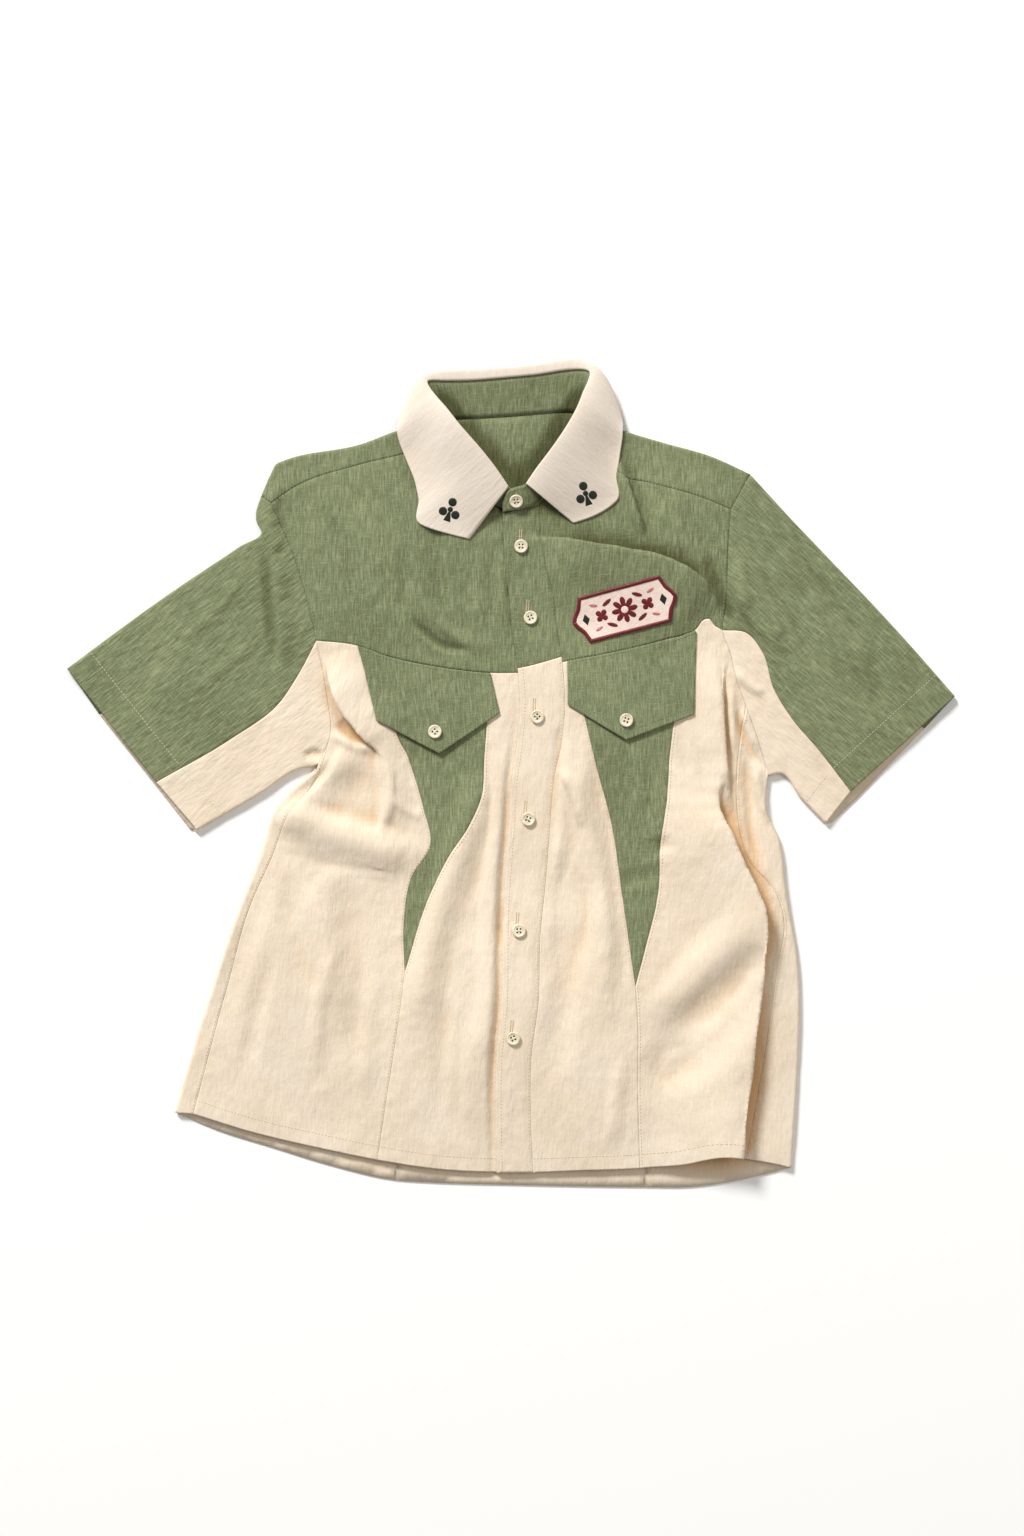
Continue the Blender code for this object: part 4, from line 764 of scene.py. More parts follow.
# Embroidery thread, glossier than the cloth: close satin stitches, and a finer twill that they are sewn on.
MAROON_SATIN = embroidery("maroon merrowed edge", "#7A0A16", "#55060F", 0.5, 4.0)
BADGE_TWILL = embroidery("pale pink badge twill", "#F8E6DA", "#EBD2C2", 0.45, 5.0)
ROSE_SATIN = embroidery("rose satin stitch", "#D98C8C", "#B86A6E", 0.5, 4.0)
DARK_GREEN_SATIN = embroidery("dark green satin stitch", "#16240F", "#0B1507", 0.5, 5.0)
# Thread down in the button holes, coloured dark as painted shade for the shadow down in the holes.
HOLE_THREAD_PAINTED_SHADE = thread("dark thread in the button holes, painted shade", "#4B4331")

# ---------------------------------------------------------------- small creases and the crinkled face

# Smaller folds, which the solids leave out. None leans.
Crease = namedtuple("Crease", "rise behind ahead path")
CREASE_RISE = 1.5  # how many times its own rise each is high
CREASE_END = 0.3  # the share of its length over which each grows and dies away
CREASE_PATH_STEP = 8  # between points along a path
CREASES = [Fold("crease", c.rise, c.behind, c.ahead, 0, CREASE_END, CREASE_END, c.path) for c in (
    Crease(-3.0, 6, 5, ((-181, 14), (-171, 18), (-163, 15))),
    Crease(-2.5, 10, 9, ((-150, 46), (-138, 33), (-126, 24))),
    Crease(2.0, 9, 5, ((-157, 36), (-140, 27), (-114, 20))),
    Crease(2.0, 7, 7, ((-157, 16), (-170, 0), (-184, -15))),
    Crease(1.8, 5, 8, ((-113, 20), (-106, -4), (-105, -22), (-110, -42), (-117, -59))),
    Crease(0.9, 5, 8, ((-105, -23), (-92, -32), (-77, -40))),
    Crease(2.2, 14, 22, ((-204, -54), (-176, -62), (-147, -70), (-114, -80), (-82, -92))),
    Crease(-1.2, 20, 18, ((-206, -12), (-172, -22), (-140, -30), (-108, -42), (-84, -58))),
    Crease(1.8, 30, 16, ((-140, -235), (-152, -180), (-164, -130), (-168, -106), (-156, -94), (-124, -94))),
    Crease(-1.8, 14, 18, ((-172, -200), (-184, -150), (-192, -110), (-186, -86))),
    Crease(-2.3, 22, 10, ((-196, -96), (-170, -88), (-130, -91), (-84, -96))),
    Crease(-2.0, 26, 26, ((-134, -84), (-140, -130), (-130, -190), (-118, -250))),
    Crease(-1.8, 16, 24, ((-186, -4), (-160, -10), (-134, -14), (-118, -30))),
    Crease(-1.8, 14, 20, ((-214, -60), (-222, -110), (-240, -170), (-254, -230))),
    Crease(2.4, 6, 10, ((42, 4), (50, -5), (58, -30), (61, -49))),
    Crease(-1.0, 8, 10, ((40, 40), (44, 18), (48, -5))),
    Crease(-1.4, 10, 14, ((94, -94), (113, -92), (132, -87))),
    Crease(-3.8, 22, 16, ((214, -136), (184, -174), (158, -208), (134, -240))),
    Crease(2.4, 18, 24, ((200, -116), (164, -158), (138, -192), (114, -222))),
    Crease(-1.6, 12, 12, ((40, -68), (44, -110), (42, -150), (38, -176))),
    Crease(-3.0, 8, 8, ((168, 198), (176, 172), (185, 148), (194, 122))),
    Crease(2.2, 8, 10, ((198, 196), (201, 164), (206, 136))),
    Crease(2.0, 7, 7, ((193, 92), (203, 80), (212, 73), (222, 68))),
    Crease(1.6, 9, 12, ((-138, 240), (-120, 200), (-108, 160))),
    Crease(-1.6, 14, 12, ((-60, 250), (-66, 210), (-60, 170), (-62, 130))),
    Crease(1.4, 10, 12, ((-30, 200), (-26, 160), (-30, 120))),
    Crease(0.9, 8, 7, ((-226, 178), (-256, 140), (-292, 110))),
    Crease(-0.8, 12, 12, ((-300, 120), (-318, 84), (-326, 46))),
    Crease(0.9, 8, 8, ((-218, 120), (-248, 92), (-282, 68))),
    Crease(2.4, 5, 18, ((-207, 206), (-204, 160), (-200, 120), (-197, 84))),
    Crease(1.5, 9, 9, ((262, 160), (272, 120), (286, 84))),
    Crease(1.3, 8, 5, ((214, 222), (250, 170), (290, 110), (316, 66))),
    Crease(-1.3, 8, 8, ((228, 216), (264, 168), (304, 110))),
    Crease(1.1, 5, 7, ((244, 206), (280, 158), (318, 104))),
    Crease(-1.2, 7, 7, ((206, 190), (226, 160), (250, 120), (268, 84))),
    Crease(1.2, 6, 8, ((204, 168), (220, 142), (240, 110))),
    Crease(-1.6, 12, 12, ((312, 106), (318, 74), (322, 46))),
    Crease(-2.8, 8, 5, ((-214, 206), (-211, 160), (-207, 120), (-203, 84))),
    Crease(2.2, 14, 2.5, ((93, 280), (97, 262), (105, 240), (111, 221), (118, 194))),
    Crease(-2.2, 2.5, 12, ((96, 281), (100, 263), (108, 241), (114, 222), (121, 195))),
    Crease(-2.4, 4, 6, ((-86, 134), (-72, 119), (-56, 109), (-34, 106))),
    Crease(1.6, 5, 4, ((-84, 126), (-70, 112), (-54, 102))),
    Crease(-3.2, 5, 4, ((196, 56), (201, 36), (209, 18), (219, 2))),
    Crease(2.0, 4, 7, ((201, 58), (207, 36), (216, 18))),
    Crease(1.5, 10, 9, ((238, 60), (258, 30), (270, 2))),
    Crease(1.6, 12, 12, ((-150, -140), (-166, -200), (-170, -270))),
    Crease(-1.5, 14, 12, ((-206, -150), (-220, -210), (-232, -270))),
    Crease(1.4, 12, 14, ((-120, -150), (-124, -220), (-130, -300))),
    Crease(1.5, 12, 12, ((-30, -200), (-36, -260), (-34, -320))),
    Crease(-1.3, 12, 12, ((-54, -180), (-60, -240), (-62, -310))),
    Crease(0.6, 12, 12, ((140, -240), (150, -290), (150, -326))),
    Crease(-1.4, 12, 12, ((180, -250), (186, -290), (184, -322))),
    Crease(1.5, 10, 12, ((96, -240), (90, -290), (88, -330))),
    Crease(1.4, 9, 9, ((150, 60), (158, 20), (160, -20))),
    Crease(1.4, 9, 9, ((110, 30), (112, -10), (108, -44))),
    Crease(2.6, 16, 8, ((-2, 60), (-3, 29), (-8, -5), (-11, -47), (-15, -96), (-17, -144), (-18, -197),
                        (-23, -250), (-23, -295), (-22, -346))),
    Crease(-1.7, 6, 2.5, ((6, 90), (5, 58), (3, 29), (-2, -5), (-4.5, -47), (-8, -96), (-9.8, -144),
                          (-10.6, -197), (-15.4, -250), (-16, -295), (-15, -346), (-15, -460))),
    Crease(2.0, 10, 6, ((-6, 190), (-7, 160), (-4, 120))),
    Crease(2.2, 7, 12, ((49, 60), (48, 20), (45, -20), (42, -60), (37, -110))),
    Crease(-2.4, 7, 9, ((181, 110), (180, 80), (183, 40), (188, 0))),
    Crease(2.0, 6, 6, ((191, 84), (192, 50), (194, 14))),
    Crease(-2.6, 6, 7, ((203, 20), (206, -20), (210, -60), (221, -84))),
    Crease(2.2, 6, 7, ((212, 12), (216, -20), (226, -46))),
    Crease(-1.8, 9, 9, ((-160, 228), (-140, 186), (-136, 150))),
    Crease(-1.7, 8, 9, ((-96, 206), (-92, 170), (-98, 132))),
    Crease(1.7, 8, 8, ((-84, 160), (-66, 132), (-44, 116), (-20, 104))),
    Crease(-1.8, 8, 8, ((-90, 140), (-72, 118), (-50, 102))),
    Crease(1.5, 9, 10, ((128, 240), (134, 214), (150, 190))),
    Crease(-1.5, 8, 8, ((150, 236), (160, 210), (174, 190))),
)]
CREASE_PATHS = [smooth_curve(crease.path, CREASE_PATH_STEP) for crease in CREASES]
# Ridged noise for the crinkled face: how high, how wide across and along the shirt, and where it starts.
CRINKLES = ((1.5, 46.0, 64.0, 3.1), (0.75, 19.0, 27.0, 7.7), (0.30, 8.5, 11.0, 1.9))
CRINKLE_CREST = 0.35  # how far a ridge stands above the middle of the cloth, as a share of its height
# At the neck, where the collar and the stand lie, this share of the crinkles goes: above this height up the
# shirt, growing over this length, and in this half width, dying away over this width.
CALMED, CALM_FROM, CALM_GROWTH, CALM_HALF_WIDTH, CALM_FADE = 0.7, 225, 60, 110, 30


def crinkled(points):
    """The height of the crinkled face at points of the flat cloth: narrow ridges between broad hollows."""
    height = np.zeros(len(points))
    for amount, across, along, start in CRINKLES:
        scaled = np.column_stack([points[:, 0] / across, points[:, 1] / along, np.full(len(points), start)])
        height += amount * (CRINKLE_CREST - np.abs([noise.noise(Vector(place)) for place in scaled]))
    return height


def creased(points):
    """The height of the creases at points of the flat cloth."""
    height = np.zeros(len(points))
    for crease, path in zip(CREASES, CREASE_PATHS):
        near, form, _ = fold_form(crease, path, points)
        height[near] += CREASE_RISE * crease.rise * form
    return height


LOWEST_FRONT = BACK_LEVEL + CLOTH + 0.15  # where the front sheet would touch the back one


def small_relief(points):
    """The creases and crinkles of every cloth on the front sheet, however many layers up it lies. A trough
    flattens out as it comes near the back sheet."""
    relief = creased(points) + crinkled(points) * calm(points)
    room = front(points)[:, 2] - neck_rise(points) - LOWEST_FRONT
    return np.where(relief < 0, room * np.tanh(relief / room), relief)


def calm(points):
    """The share of the crinkles at points: less at the neck."""
    up = smooth_step((points[:, 1] - CALM_FROM) / CALM_GROWTH)
    return 1 - CALMED * up * smooth_step((CALM_HALF_WIDTH - np.abs(points[:, 0])) / CALM_FADE)


FAR_FROM_SEAMS = 200.0  # a distance at which no seam shows
RIPPLE_WIDTH, RIPPLE_START = 5.5, 4.2  # of the noise that ripples the cloth beside a seam


def seam_relief(points, lines, depth):
    """The groove along sewn lines, and the ripples beside them."""
    distance = np.full(len(points), FAR_FROM_SEAMS)
    for line in lines:
        near = near_to(line, points, 4 * PUCKER_REACH)
        if near.any():
            distance[near] = np.minimum(distance[near], distance_to(line, points[near]))
    scaled = [(x / RIPPLE_WIDTH, y / RIPPLE_WIDTH, RIPPLE_START) for x, y in points]
    ripple = np.array([noise.noise(Vector(place)) for place in scaled])
    groove = -depth * np.exp(-((distance / GROOVE_WIDTH) ** 2))
    return groove + PUCKER * ripple * np.exp(-distance / PUCKER_REACH)


# ---------------------------------------------------------------- making the pieces

PIECES = []


def new_object(name, data):
    """An object in the scene that shows a mesh, a lamp or a camera."""
    made = bpy.data.objects.new(name, data)
    bpy.context.scene.collection.objects.link(made)
    return made


def finished(name, mesh, materials, node=None, wall=None, pattern=None):
    """The object of a mesh in millimetres. pattern holds each point's place on the flat cloth."""
    data = bpy.data.meshes.new(name)
    if pattern is not None:
        layer = mesh.loops.layers.uv.new("pattern")
        for face in mesh.faces:
            for loop in face.loops:
                loop[layer].uv = pattern[loop.vert.index]
    bmesh.ops.scale(mesh, vec=(MM, MM, MM), verts=mesh.verts)
    for face in mesh.faces:
        face.smooth = True
    mesh.to_mesh(data)
    mesh.free()
    made = new_object(name, data)
    for material in materials:
        data.materials.append(material)
    if wall:
        thickness = made.modifiers.new("cloth thickness", "SOLIDIFY")
        thickness.thickness = wall * MM
        thickness.offset = 0
    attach(made, "root")
    if node:
        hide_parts(node)
    PIECES.append(made)
    return made


# How far new points of a mesh keep from the ones before: those of a row inside a seam, as a share of its
# distance from the seam, those along the steep folds, and those of the net, as a share of its cell.
SEAM_ROW_GAP, STEEP_FOLD_GAP, NET_GAP = 0.8, 1.2, 0.55
SAME_CORNER = 1e-4


def filled(corners, sheet):
    """Points and triangles that fill an outline."""
    cell = CELL if sheet is front else BACK_CELL
    points = corners
    if sheet is front:
        inward = averaged(inward_normals(corners), [*range(len(corners)), 0])[:-1]
        for inset in SEAM_ROWS:
            row = corners + inward * inset
            row = row[inside(row, corners)]
            points = np.concatenate([points, row[clear_of(row, points, SEAM_ROW_GAP * inset)]])
        rows = FOLD_POINTS[inside(FOLD_POINTS, corners)]
        points = np.concatenate([points, rows[clear_of(rows, points, STEEP_FOLD_GAP)]])
    net = lattice(corners, cell)
    net = net[inside(net, corners)]
    points = np.concatenate([points, net[clear_of(net, points, NET_GAP * cell)]])
    outline = list(range(len(corners)))
    made = delaunay_2d_cdt([Vector(p) for p in points], [], [outline], 1, SAME_CORNER)
    return np.array([tuple(p) for p in made[0]]), made[2]


def turned(points, grain):
    """Places on the cloth along its weft and its warp, which runs `grain` degrees from +Y."""
    angle = math.radians(grain)
    return np.column_stack([points[:, 0] * math.cos(angle) + points[:, 1] * math.sin(angle),
                            points[:, 1] * math.cos(angle) - points[:, 0] * math.sin(angle)])


STITCHES = {}


def sew(thread_material, points, place):
    """Stitches along a line of the flat cloth. place(points) gives where they lie and which way is up."""
    if len(points) < 2:
        return
    lengths = lengths_along(points)
    at = np.arange(STITCH_PITCH / 2, lengths[-1], STITCH_PITCH)
    if not len(at):
        return
    ends = [places_along(points, lengths, at + shift) for shift in (-STITCH_LENGTH / 2, STITCH_LENGTH / 2)]
    (first, up), (last, _) = place(ends[0]), place(ends[1])
    STITCHES.setdefault(thread_material.name, []).append((first, last, up))


def cut_size(areas, extents, unfold):
    """The width, length and area of the flat cut of a piece, in metres."""
    extents = np.array(extents)
    size = extents.max(axis=0)
    size[unfold] = extents[:, unfold].sum()
    return [float(x) * MM for x in size], float(sum(areas)) * MM * MM


def cloth(name, finish, *regions, lift=None, grain=0.0, unfold=0, rests_on="back_centre_cloth", wall=CLOTH):
    """One piece of cloth from its flat regions, with its seams, small creases and stitches. Where a front and
    a back region share a "turn" side, a strip rounds the edge between them."""
    mesh = bmesh.new()
    turns, pattern, areas, extents = {}, [], [], []
    material, thread_material = finish
    for region in regions:
        corners, owners = joined(region.sides)
        normals = inward_normals(corners)
        kinds = [region.sides[owner].kind for owner in owners]
        moved = shrunk(corners, kinds, normals)
        points, faces = filled(moved, region.sheet)
        sewn = [side.line for side in region.sides if side.kind == "seam"]

        def place(where, region=region, sewn=sewn):
            """Where points of the flat region lie, and which way is up there."""
            if region.sheet is back:
                return back(where), np.tile([0.0, 0.0, 1.0], (len(where), 1))
            up = normals_of(where)
            depth = GREEN_GROOVE if material is GREEN else CREAM_GROOVE
            raised = small_relief(where) + seam_relief(where, sewn, depth) + (lift(where) if lift else 0.0)
            return front(where) + up * raised[:, None], up

        laid = place(points)[0]
        verts = [mesh.verts.new(p) for p in laid]
        pattern.extend(turned(points, grain))
        for face in faces:
            mesh.faces.new([verts[k] for k in face])
        areas.append(abs(signed_area(moved)))
        extents.append(np.ptp(turned(moved, grain), axis=0))
        for index, side in enumerate(region.sides):
            run = side_run(corners, owners, index)
            if run is None:
                continue
            for inset in side.rows:
                line = corners[run] + averaged(normals, run) * inset
                line = line[inside(line, corners)]
                sew(LIGHT_THREAD if inset == SLEEVE_HEM else thread_material, line,
                    lambda where, place=place: lifted(place(where), wall / 2))
            if side.kind != "turn":
                continue
            outward = -averaged(normals, run)
            way = 1 if np.linalg.norm(corners[run[0]] - side.line[0]) < SAME_PLACE else -1
            turns.setdefault(id(side.line), []).append(
                (place(moved[run])[0][::way], outward[::way], turned(moved[run], grain)[::way]))
    for pair in turns.values():
        (lower, _, _), (upper, outward, where) = sorted(pair, key=lambda edge: edge[0][:, 2].mean())
        add_turn(mesh, upper, lower, outward, where, pattern)
    mesh.verts.index_update()
    made_pattern = [tuple(p) for p in pattern]
    tag = mesh.verts.layers.int.new("place")
    for vert in mesh.verts:
        vert[tag] = vert.index
    bmesh.ops.remove_doubles(mesh, verts=mesh.verts, dist=WELD)
    bmesh.ops.recalc_face_normals(mesh, faces=mesh.faces)
    mesh.verts.index_update()
    kept = [made_pattern[vert[tag]] for vert in mesh.verts]
    made = finished(name, mesh, [material], name_of_node(name), wall, kept)
    size, area = cut_size(areas, extents, unfold)


# A finish is a cloth and the thread that it is sewn with.
GREEN_FINISH = (GREEN, GREEN_THREAD)
CREAM_FINISH = (CREAM, CREAM_THREAD)
BADGE_FINISH = (BADGE_TWILL, LIGHT_THREAD)


def name_of_node(name):
    """A piece has the name of the node it stands for, with _cloth after it."""
    return name.removesuffix("_cloth")


def side_run(corners, owners, index):
    """The corners along one side of an outline."""
    starts = [k for k in range(len(owners)) if owners[k] == index != owners[k - 1]]
    if not starts:
        return None
    return [(starts[0] + k) % len(corners) for k in range(owners.count(index) + 1)]


def averaged(normals, run):
    """Which way is in at each corner of a run, between the two edges that meet there."""
    inward = normals[run] + normals[np.array(run) - 1]
    inward[0] = normals[run[0]]
    inward[-1] = normals[run[-1] - 1]
    return inward / np.linalg.norm(inward, axis=1)[:, None]


def lifted(placed, rise):
    """Points and which way is up there, with the points moved up."""
    points, up = placed
    return points + up * rise, up


def add_turn(mesh, upper, lower, outward, where, pattern):
    """The rounded strip where the cloth turns from the front sheet to the back sheet."""
    columns = []
    for top, foot, out, spot in zip(upper, lower, outward, where):
        middle, half = (top + foot) / 2, (top - foot) / 2
        column = []
        for k in range(FOLD_STEPS + 1):
            angle = math.pi * k / FOLD_STEPS
            bulge = np.array([*out, 0]) * FOLD_RADIUS * math.sin(angle)
            column.append(mesh.verts.new(middle + half * math.cos(angle) + bulge))
            pattern.append(spot + out * FOLD_RADIUS * angle)
        columns.append(column)
    skin(mesh, columns)


def skin(mesh, rows):
    """Faces from each row of points to the next."""
    for one, other in zip(rows, rows[1:]):
        for k in range(len(one) - 1):
            mesh.faces.new([one[k], other[k], other[k + 1], one[k + 1]])


def closed(rings):
    """Each ring with its first point again at its end, so that its skin has no gap."""
    return [[*ring, ring[0]] for ring in rings]


# ---------------------------------------------------------------- the body


def front_panels():
    """The two front yokes, and below each a centre front, an insert and a side front."""
    right_corner = crossing(RIGHT_YOKE_SEAM, RIGHT_FRONT_EDGE)
    left_corner = crossing(LEFT_YOKE_SEAM, PLACKET_SEWN_EDGE)
    right_chest, left_chest = RIGHT_SLEEVE_SEAM[-1], LEFT_SLEEVE_SEAM[-1]
    cloth("front_yoke_right_cloth", GREEN_FINISH, Region(front, [
        seam(RIGHT_NECK),
        seam(straight(RIGHT_NECK[-1], RIGHT_FRONT_EDGE[0])),
        seam(RIGHT_FRONT_EDGE, RIGHT_FRONT_EDGE[0], right_corner),
        seam(RIGHT_YOKE_SEAM, right_corner, right_chest, rows=TOPSTITCH),
        seam(RIGHT_ARMHOLE, right_chest, RIGHT_ARMHOLE[0], rows=TOPSTITCH),
        seam(RIGHT_SHOULDER_SEAM),
    ]))
    cloth("front_yoke_left_cloth", GREEN_FINISH, Region(front, [
        seam(LEFT_NECK),
        seam(straight(LEFT_NECK[0], PLACKET_SEWN_EDGE[0])),
        flush(PLACKET_SEWN_EDGE, PLACKET_SEWN_EDGE[0], left_corner),
        seam(LEFT_YOKE_SEAM, left_corner, left_chest, rows=TOPSTITCH),
        seam(LEFT_ARMHOLE, left_chest, LEFT_ARMHOLE[0], rows=TOPSTITCH),
        seam(LEFT_SHOULDER_SEAM),
    ]))
    cloth("front_centre_right_cloth", CREAM_FINISH, Region(front, [
        seam(RIGHT_YOKE_SEAM, right_corner, RIGHT_INSERT_INNER[0]),
        seam(RIGHT_INSERT_INNER, rows=TOPSTITCH),
        seam(RIGHT_FRONT_SEAM),
        free(RIGHT_HEM, RIGHT_FRONT_SEAM[-1], RIGHT_HEM[-1], rows=(BODY_HEM,)),
        seam(RIGHT_FRONT_EDGE, RIGHT_FRONT_EDGE[-1], right_corner),
    ]))
    cloth("front_centre_left_cloth", CREAM_FINISH, Region(front, [
        seam(LEFT_YOKE_SEAM, left_corner, LEFT_INSERT_INNER[0]),
        seam(LEFT_INSERT_INNER, rows=TOPSTITCH),
        seam(LEFT_FRONT_SEAM),
        free(LEFT_HEM, LEFT_FRONT_SEAM[-1], LEFT_HEM[0], rows=(BODY_HEM,)),
        flush(PLACKET_SEWN_EDGE, PLACKET_SEWN_EDGE[-1], left_corner),
    ]))
    for side, yoke_seam, inner, outer in (
        ("right", RIGHT_YOKE_SEAM, RIGHT_INSERT_INNER, RIGHT_INSERT_OUTER),
        ("left", LEFT_YOKE_SEAM, LEFT_INSERT_INNER, LEFT_INSERT_OUTER),
    ):
        sides = [seam(yoke_seam, inner[0], outer[0]), seam(outer), seam(inner)]
        cloth(f"front_insert_{side}_cloth", GREEN_FINISH, Region(front, sides))
    cloth("front_side_right_cloth", CREAM_FINISH, Region(front, [
        seam(RIGHT_YOKE_SEAM, RIGHT_INSERT_OUTER[0], right_chest),
        seam(RIGHT_ARMHOLE, right_chest, RIGHT_SIDE_SEAM[0]),
        seam(RIGHT_SIDE_SEAM),
        free(RIGHT_HEM, RIGHT_HEM[0], RIGHT_FRONT_SEAM[-1], rows=(BODY_HEM,)),
        seam(RIGHT_FRONT_SEAM, rows=TOPSTITCH),
        seam(RIGHT_INSERT_OUTER, rows=TOPSTITCH),
    ]))
    cloth("front_side_left_cloth", CREAM_FINISH, Region(front, [
        seam(LEFT_YOKE_SEAM, LEFT_INSERT_OUTER[0], left_chest),
        seam(LEFT_ARMHOLE, left_chest, LEFT_SIDE_SEAM[0]),
        seam(LEFT_SIDE_SEAM),
        free(LEFT_HEM, LEFT_HEM[-1], LEFT_FRONT_SEAM[-1], rows=(BODY_HEM,)),
        seam(LEFT_FRONT_SEAM, rows=TOPSTITCH),
        seam(LEFT_INSERT_OUTER, rows=TOPSTITCH),
    ]))


def back_panels():
    """The back yoke, which comes over the shoulders to the front, and below it three panels, of which the
    side ones come round to the side seams."""
    cloth("back_yoke_cloth", GREEN_FINISH, Region(back, [
        seam(BACK_NECK),
        turn(RIGHT_SHOULDER_FOLD),
        seam(RIGHT_BACK_ARMHOLE, RIGHT_BACK_ARMHOLE[0], BACK_YOKE_SEAM[0]),
        seam(BACK_YOKE_SEAM),
        seam(LEFT_BACK_ARMHOLE, BACK_YOKE_SEAM[-1], LEFT_BACK_ARMHOLE[0]),
        turn(LEFT_SHOULDER_FOLD),
    ]), Region(front, [
        turn(RIGHT_SHOULDER_FOLD),
        seam(RIGHT_SLEEVE_HEAD),
        seam(RIGHT_SHOULDER_SEAM, rows=TOPSTITCH),
        seam(straight(RIGHT_NECK[0], RIGHT_SHOULDER_FOLD[0])),
    ]), Region(front, [
        turn(LEFT_SHOULDER_FOLD),
        seam(LEFT_SLEEVE_HEAD),
        seam(LEFT_SHOULDER_SEAM, rows=TOPSTITCH),
        seam(straight(LEFT_NECK[-1], LEFT_SHOULDER_FOLD[0])),
    ]), unfold=1, rests_on=())
    cloth("back_centre_cloth", CREAM_FINISH, Region(back, [
        seam(BACK_YOKE_SEAM, RIGHT_BACK_SEAM[0], LEFT_BACK_SEAM[0]),
        seam(LEFT_BACK_SEAM),
        free(BACK_HEM, LEFT_BACK_SEAM[-1], RIGHT_BACK_SEAM[-1]),
        seam(RIGHT_BACK_SEAM),
    ]), rests_on=())
    for side, armhole, back_armhole, fold, back_seam, side_seam, hem_turn, end in (
        ("right", RIGHT_ARMHOLE, RIGHT_BACK_ARMHOLE, RIGHT_SIDE_FOLD, RIGHT_BACK_SEAM, RIGHT_SIDE_SEAM,
         RIGHT_HEM_TURN, 0),
        ("left", LEFT_ARMHOLE, LEFT_BACK_ARMHOLE, LEFT_SIDE_FOLD, LEFT_BACK_SEAM, LEFT_SIDE_SEAM,
         LEFT_HEM_TURN, -1),
    ):
        cloth(f"back_side_{side}_cloth", CREAM_FINISH, Region(back, [
            seam(back_armhole, BACK_YOKE_SEAM[end], back_armhole[-1]),
            turn(fold),
            free(BACK_HEM, BACK_HEM[end], back_seam[-1]),
            seam(back_seam),
            seam(BACK_YOKE_SEAM, back_seam[0], BACK_YOKE_SEAM[end]),
        ]), Region(front, [
            turn(fold),
            free(hem_turn),
            seam(side_seam, rows=TOPSTITCH),
            seam(armhole, side_seam[0], armhole[-1]),
        ]), rests_on=())


def sleeves():
    """Each sleeve is a green upper piece, turned over the top edge, and a cream under piece, turned under the
    armpit."""
    for side, grain, top, head, armhole, sleeve_seam, cuff, back_armhole, back_seam, back_cuff, under in (
        ("right", -52, RIGHT_SLEEVE_FOLD, RIGHT_SLEEVE_HEAD, RIGHT_ARMHOLE, RIGHT_SLEEVE_SEAM, RIGHT_CUFF,
         RIGHT_BACK_ARMHOLE, RIGHT_SLEEVE_BACK_SEAM, RIGHT_BACK_CUFF, RIGHT_UNDERARM_FOLD),
        ("left", 48, LEFT_SLEEVE_FOLD, LEFT_SLEEVE_HEAD, LEFT_ARMHOLE, LEFT_SLEEVE_SEAM, LEFT_CUFF,
         LEFT_BACK_ARMHOLE, LEFT_SLEEVE_BACK_SEAM, LEFT_BACK_CUFF, LEFT_UNDERARM_FOLD),
    ):
        for name, finish, fold, end in (
            ("sleeve_upper_", GREEN_FINISH, top, 0),
            ("sleeve_under_", CREAM_FINISH, under, -1),
        ):
            in_front = [
                turn(fold),
                seam(armhole, armhole[end], sleeve_seam[-1]),
                seam(sleeve_seam),
                free(cuff, sleeve_seam[0], cuff[end], rows=(SLEEVE_HEM,)),
            ]
            if fold is top:
                in_front.insert(1, seam(head))
            behind = [
                turn(fold),
                seam(back_armhole, back_armhole[end], back_seam[-1]),
                seam(back_seam),
                free(back_cuff, back_seam[0], back_cuff[end]),
            ]
            cloth(f"{name}{side}_cloth", finish, Region(front, in_front), Region(back, behind), grain=grain,
                  rests_on=())


# ---------------------------------------------------------------- placket, flaps and badge

PLACKET_ROW = 4.5  # how far inside the placket's free edge its stitches run
PLACKET_SLOPE = 7.0  # over what width the placket comes down to its sewn edge
FLAP_ROWS = (1.6, 6.5)  # how far inside a flap's edges its two rows of stitches run


def one_layer_up(points):
    """How far up a cloth lies that rests on one other."""
    return np.full(len(points), LAYER)


def placket_lift(points):
    """The placket comes down to the panels beside it where it is sewn to them."""
    return LAYER * smooth_step(distance_to(PLACKET_SEWN_EDGE, points) / PLACKET_SLOPE)


def flap_lift(points):
    """A pocket flap lies on the panels under it, and its point stands a little off them."""
    below = np.clip((FLAP_TOP - points[:, 1]) / (FLAP_TOP - FLAP_POINT), 0, 1)
    return LAYER + FLAP_SPRING * below**2


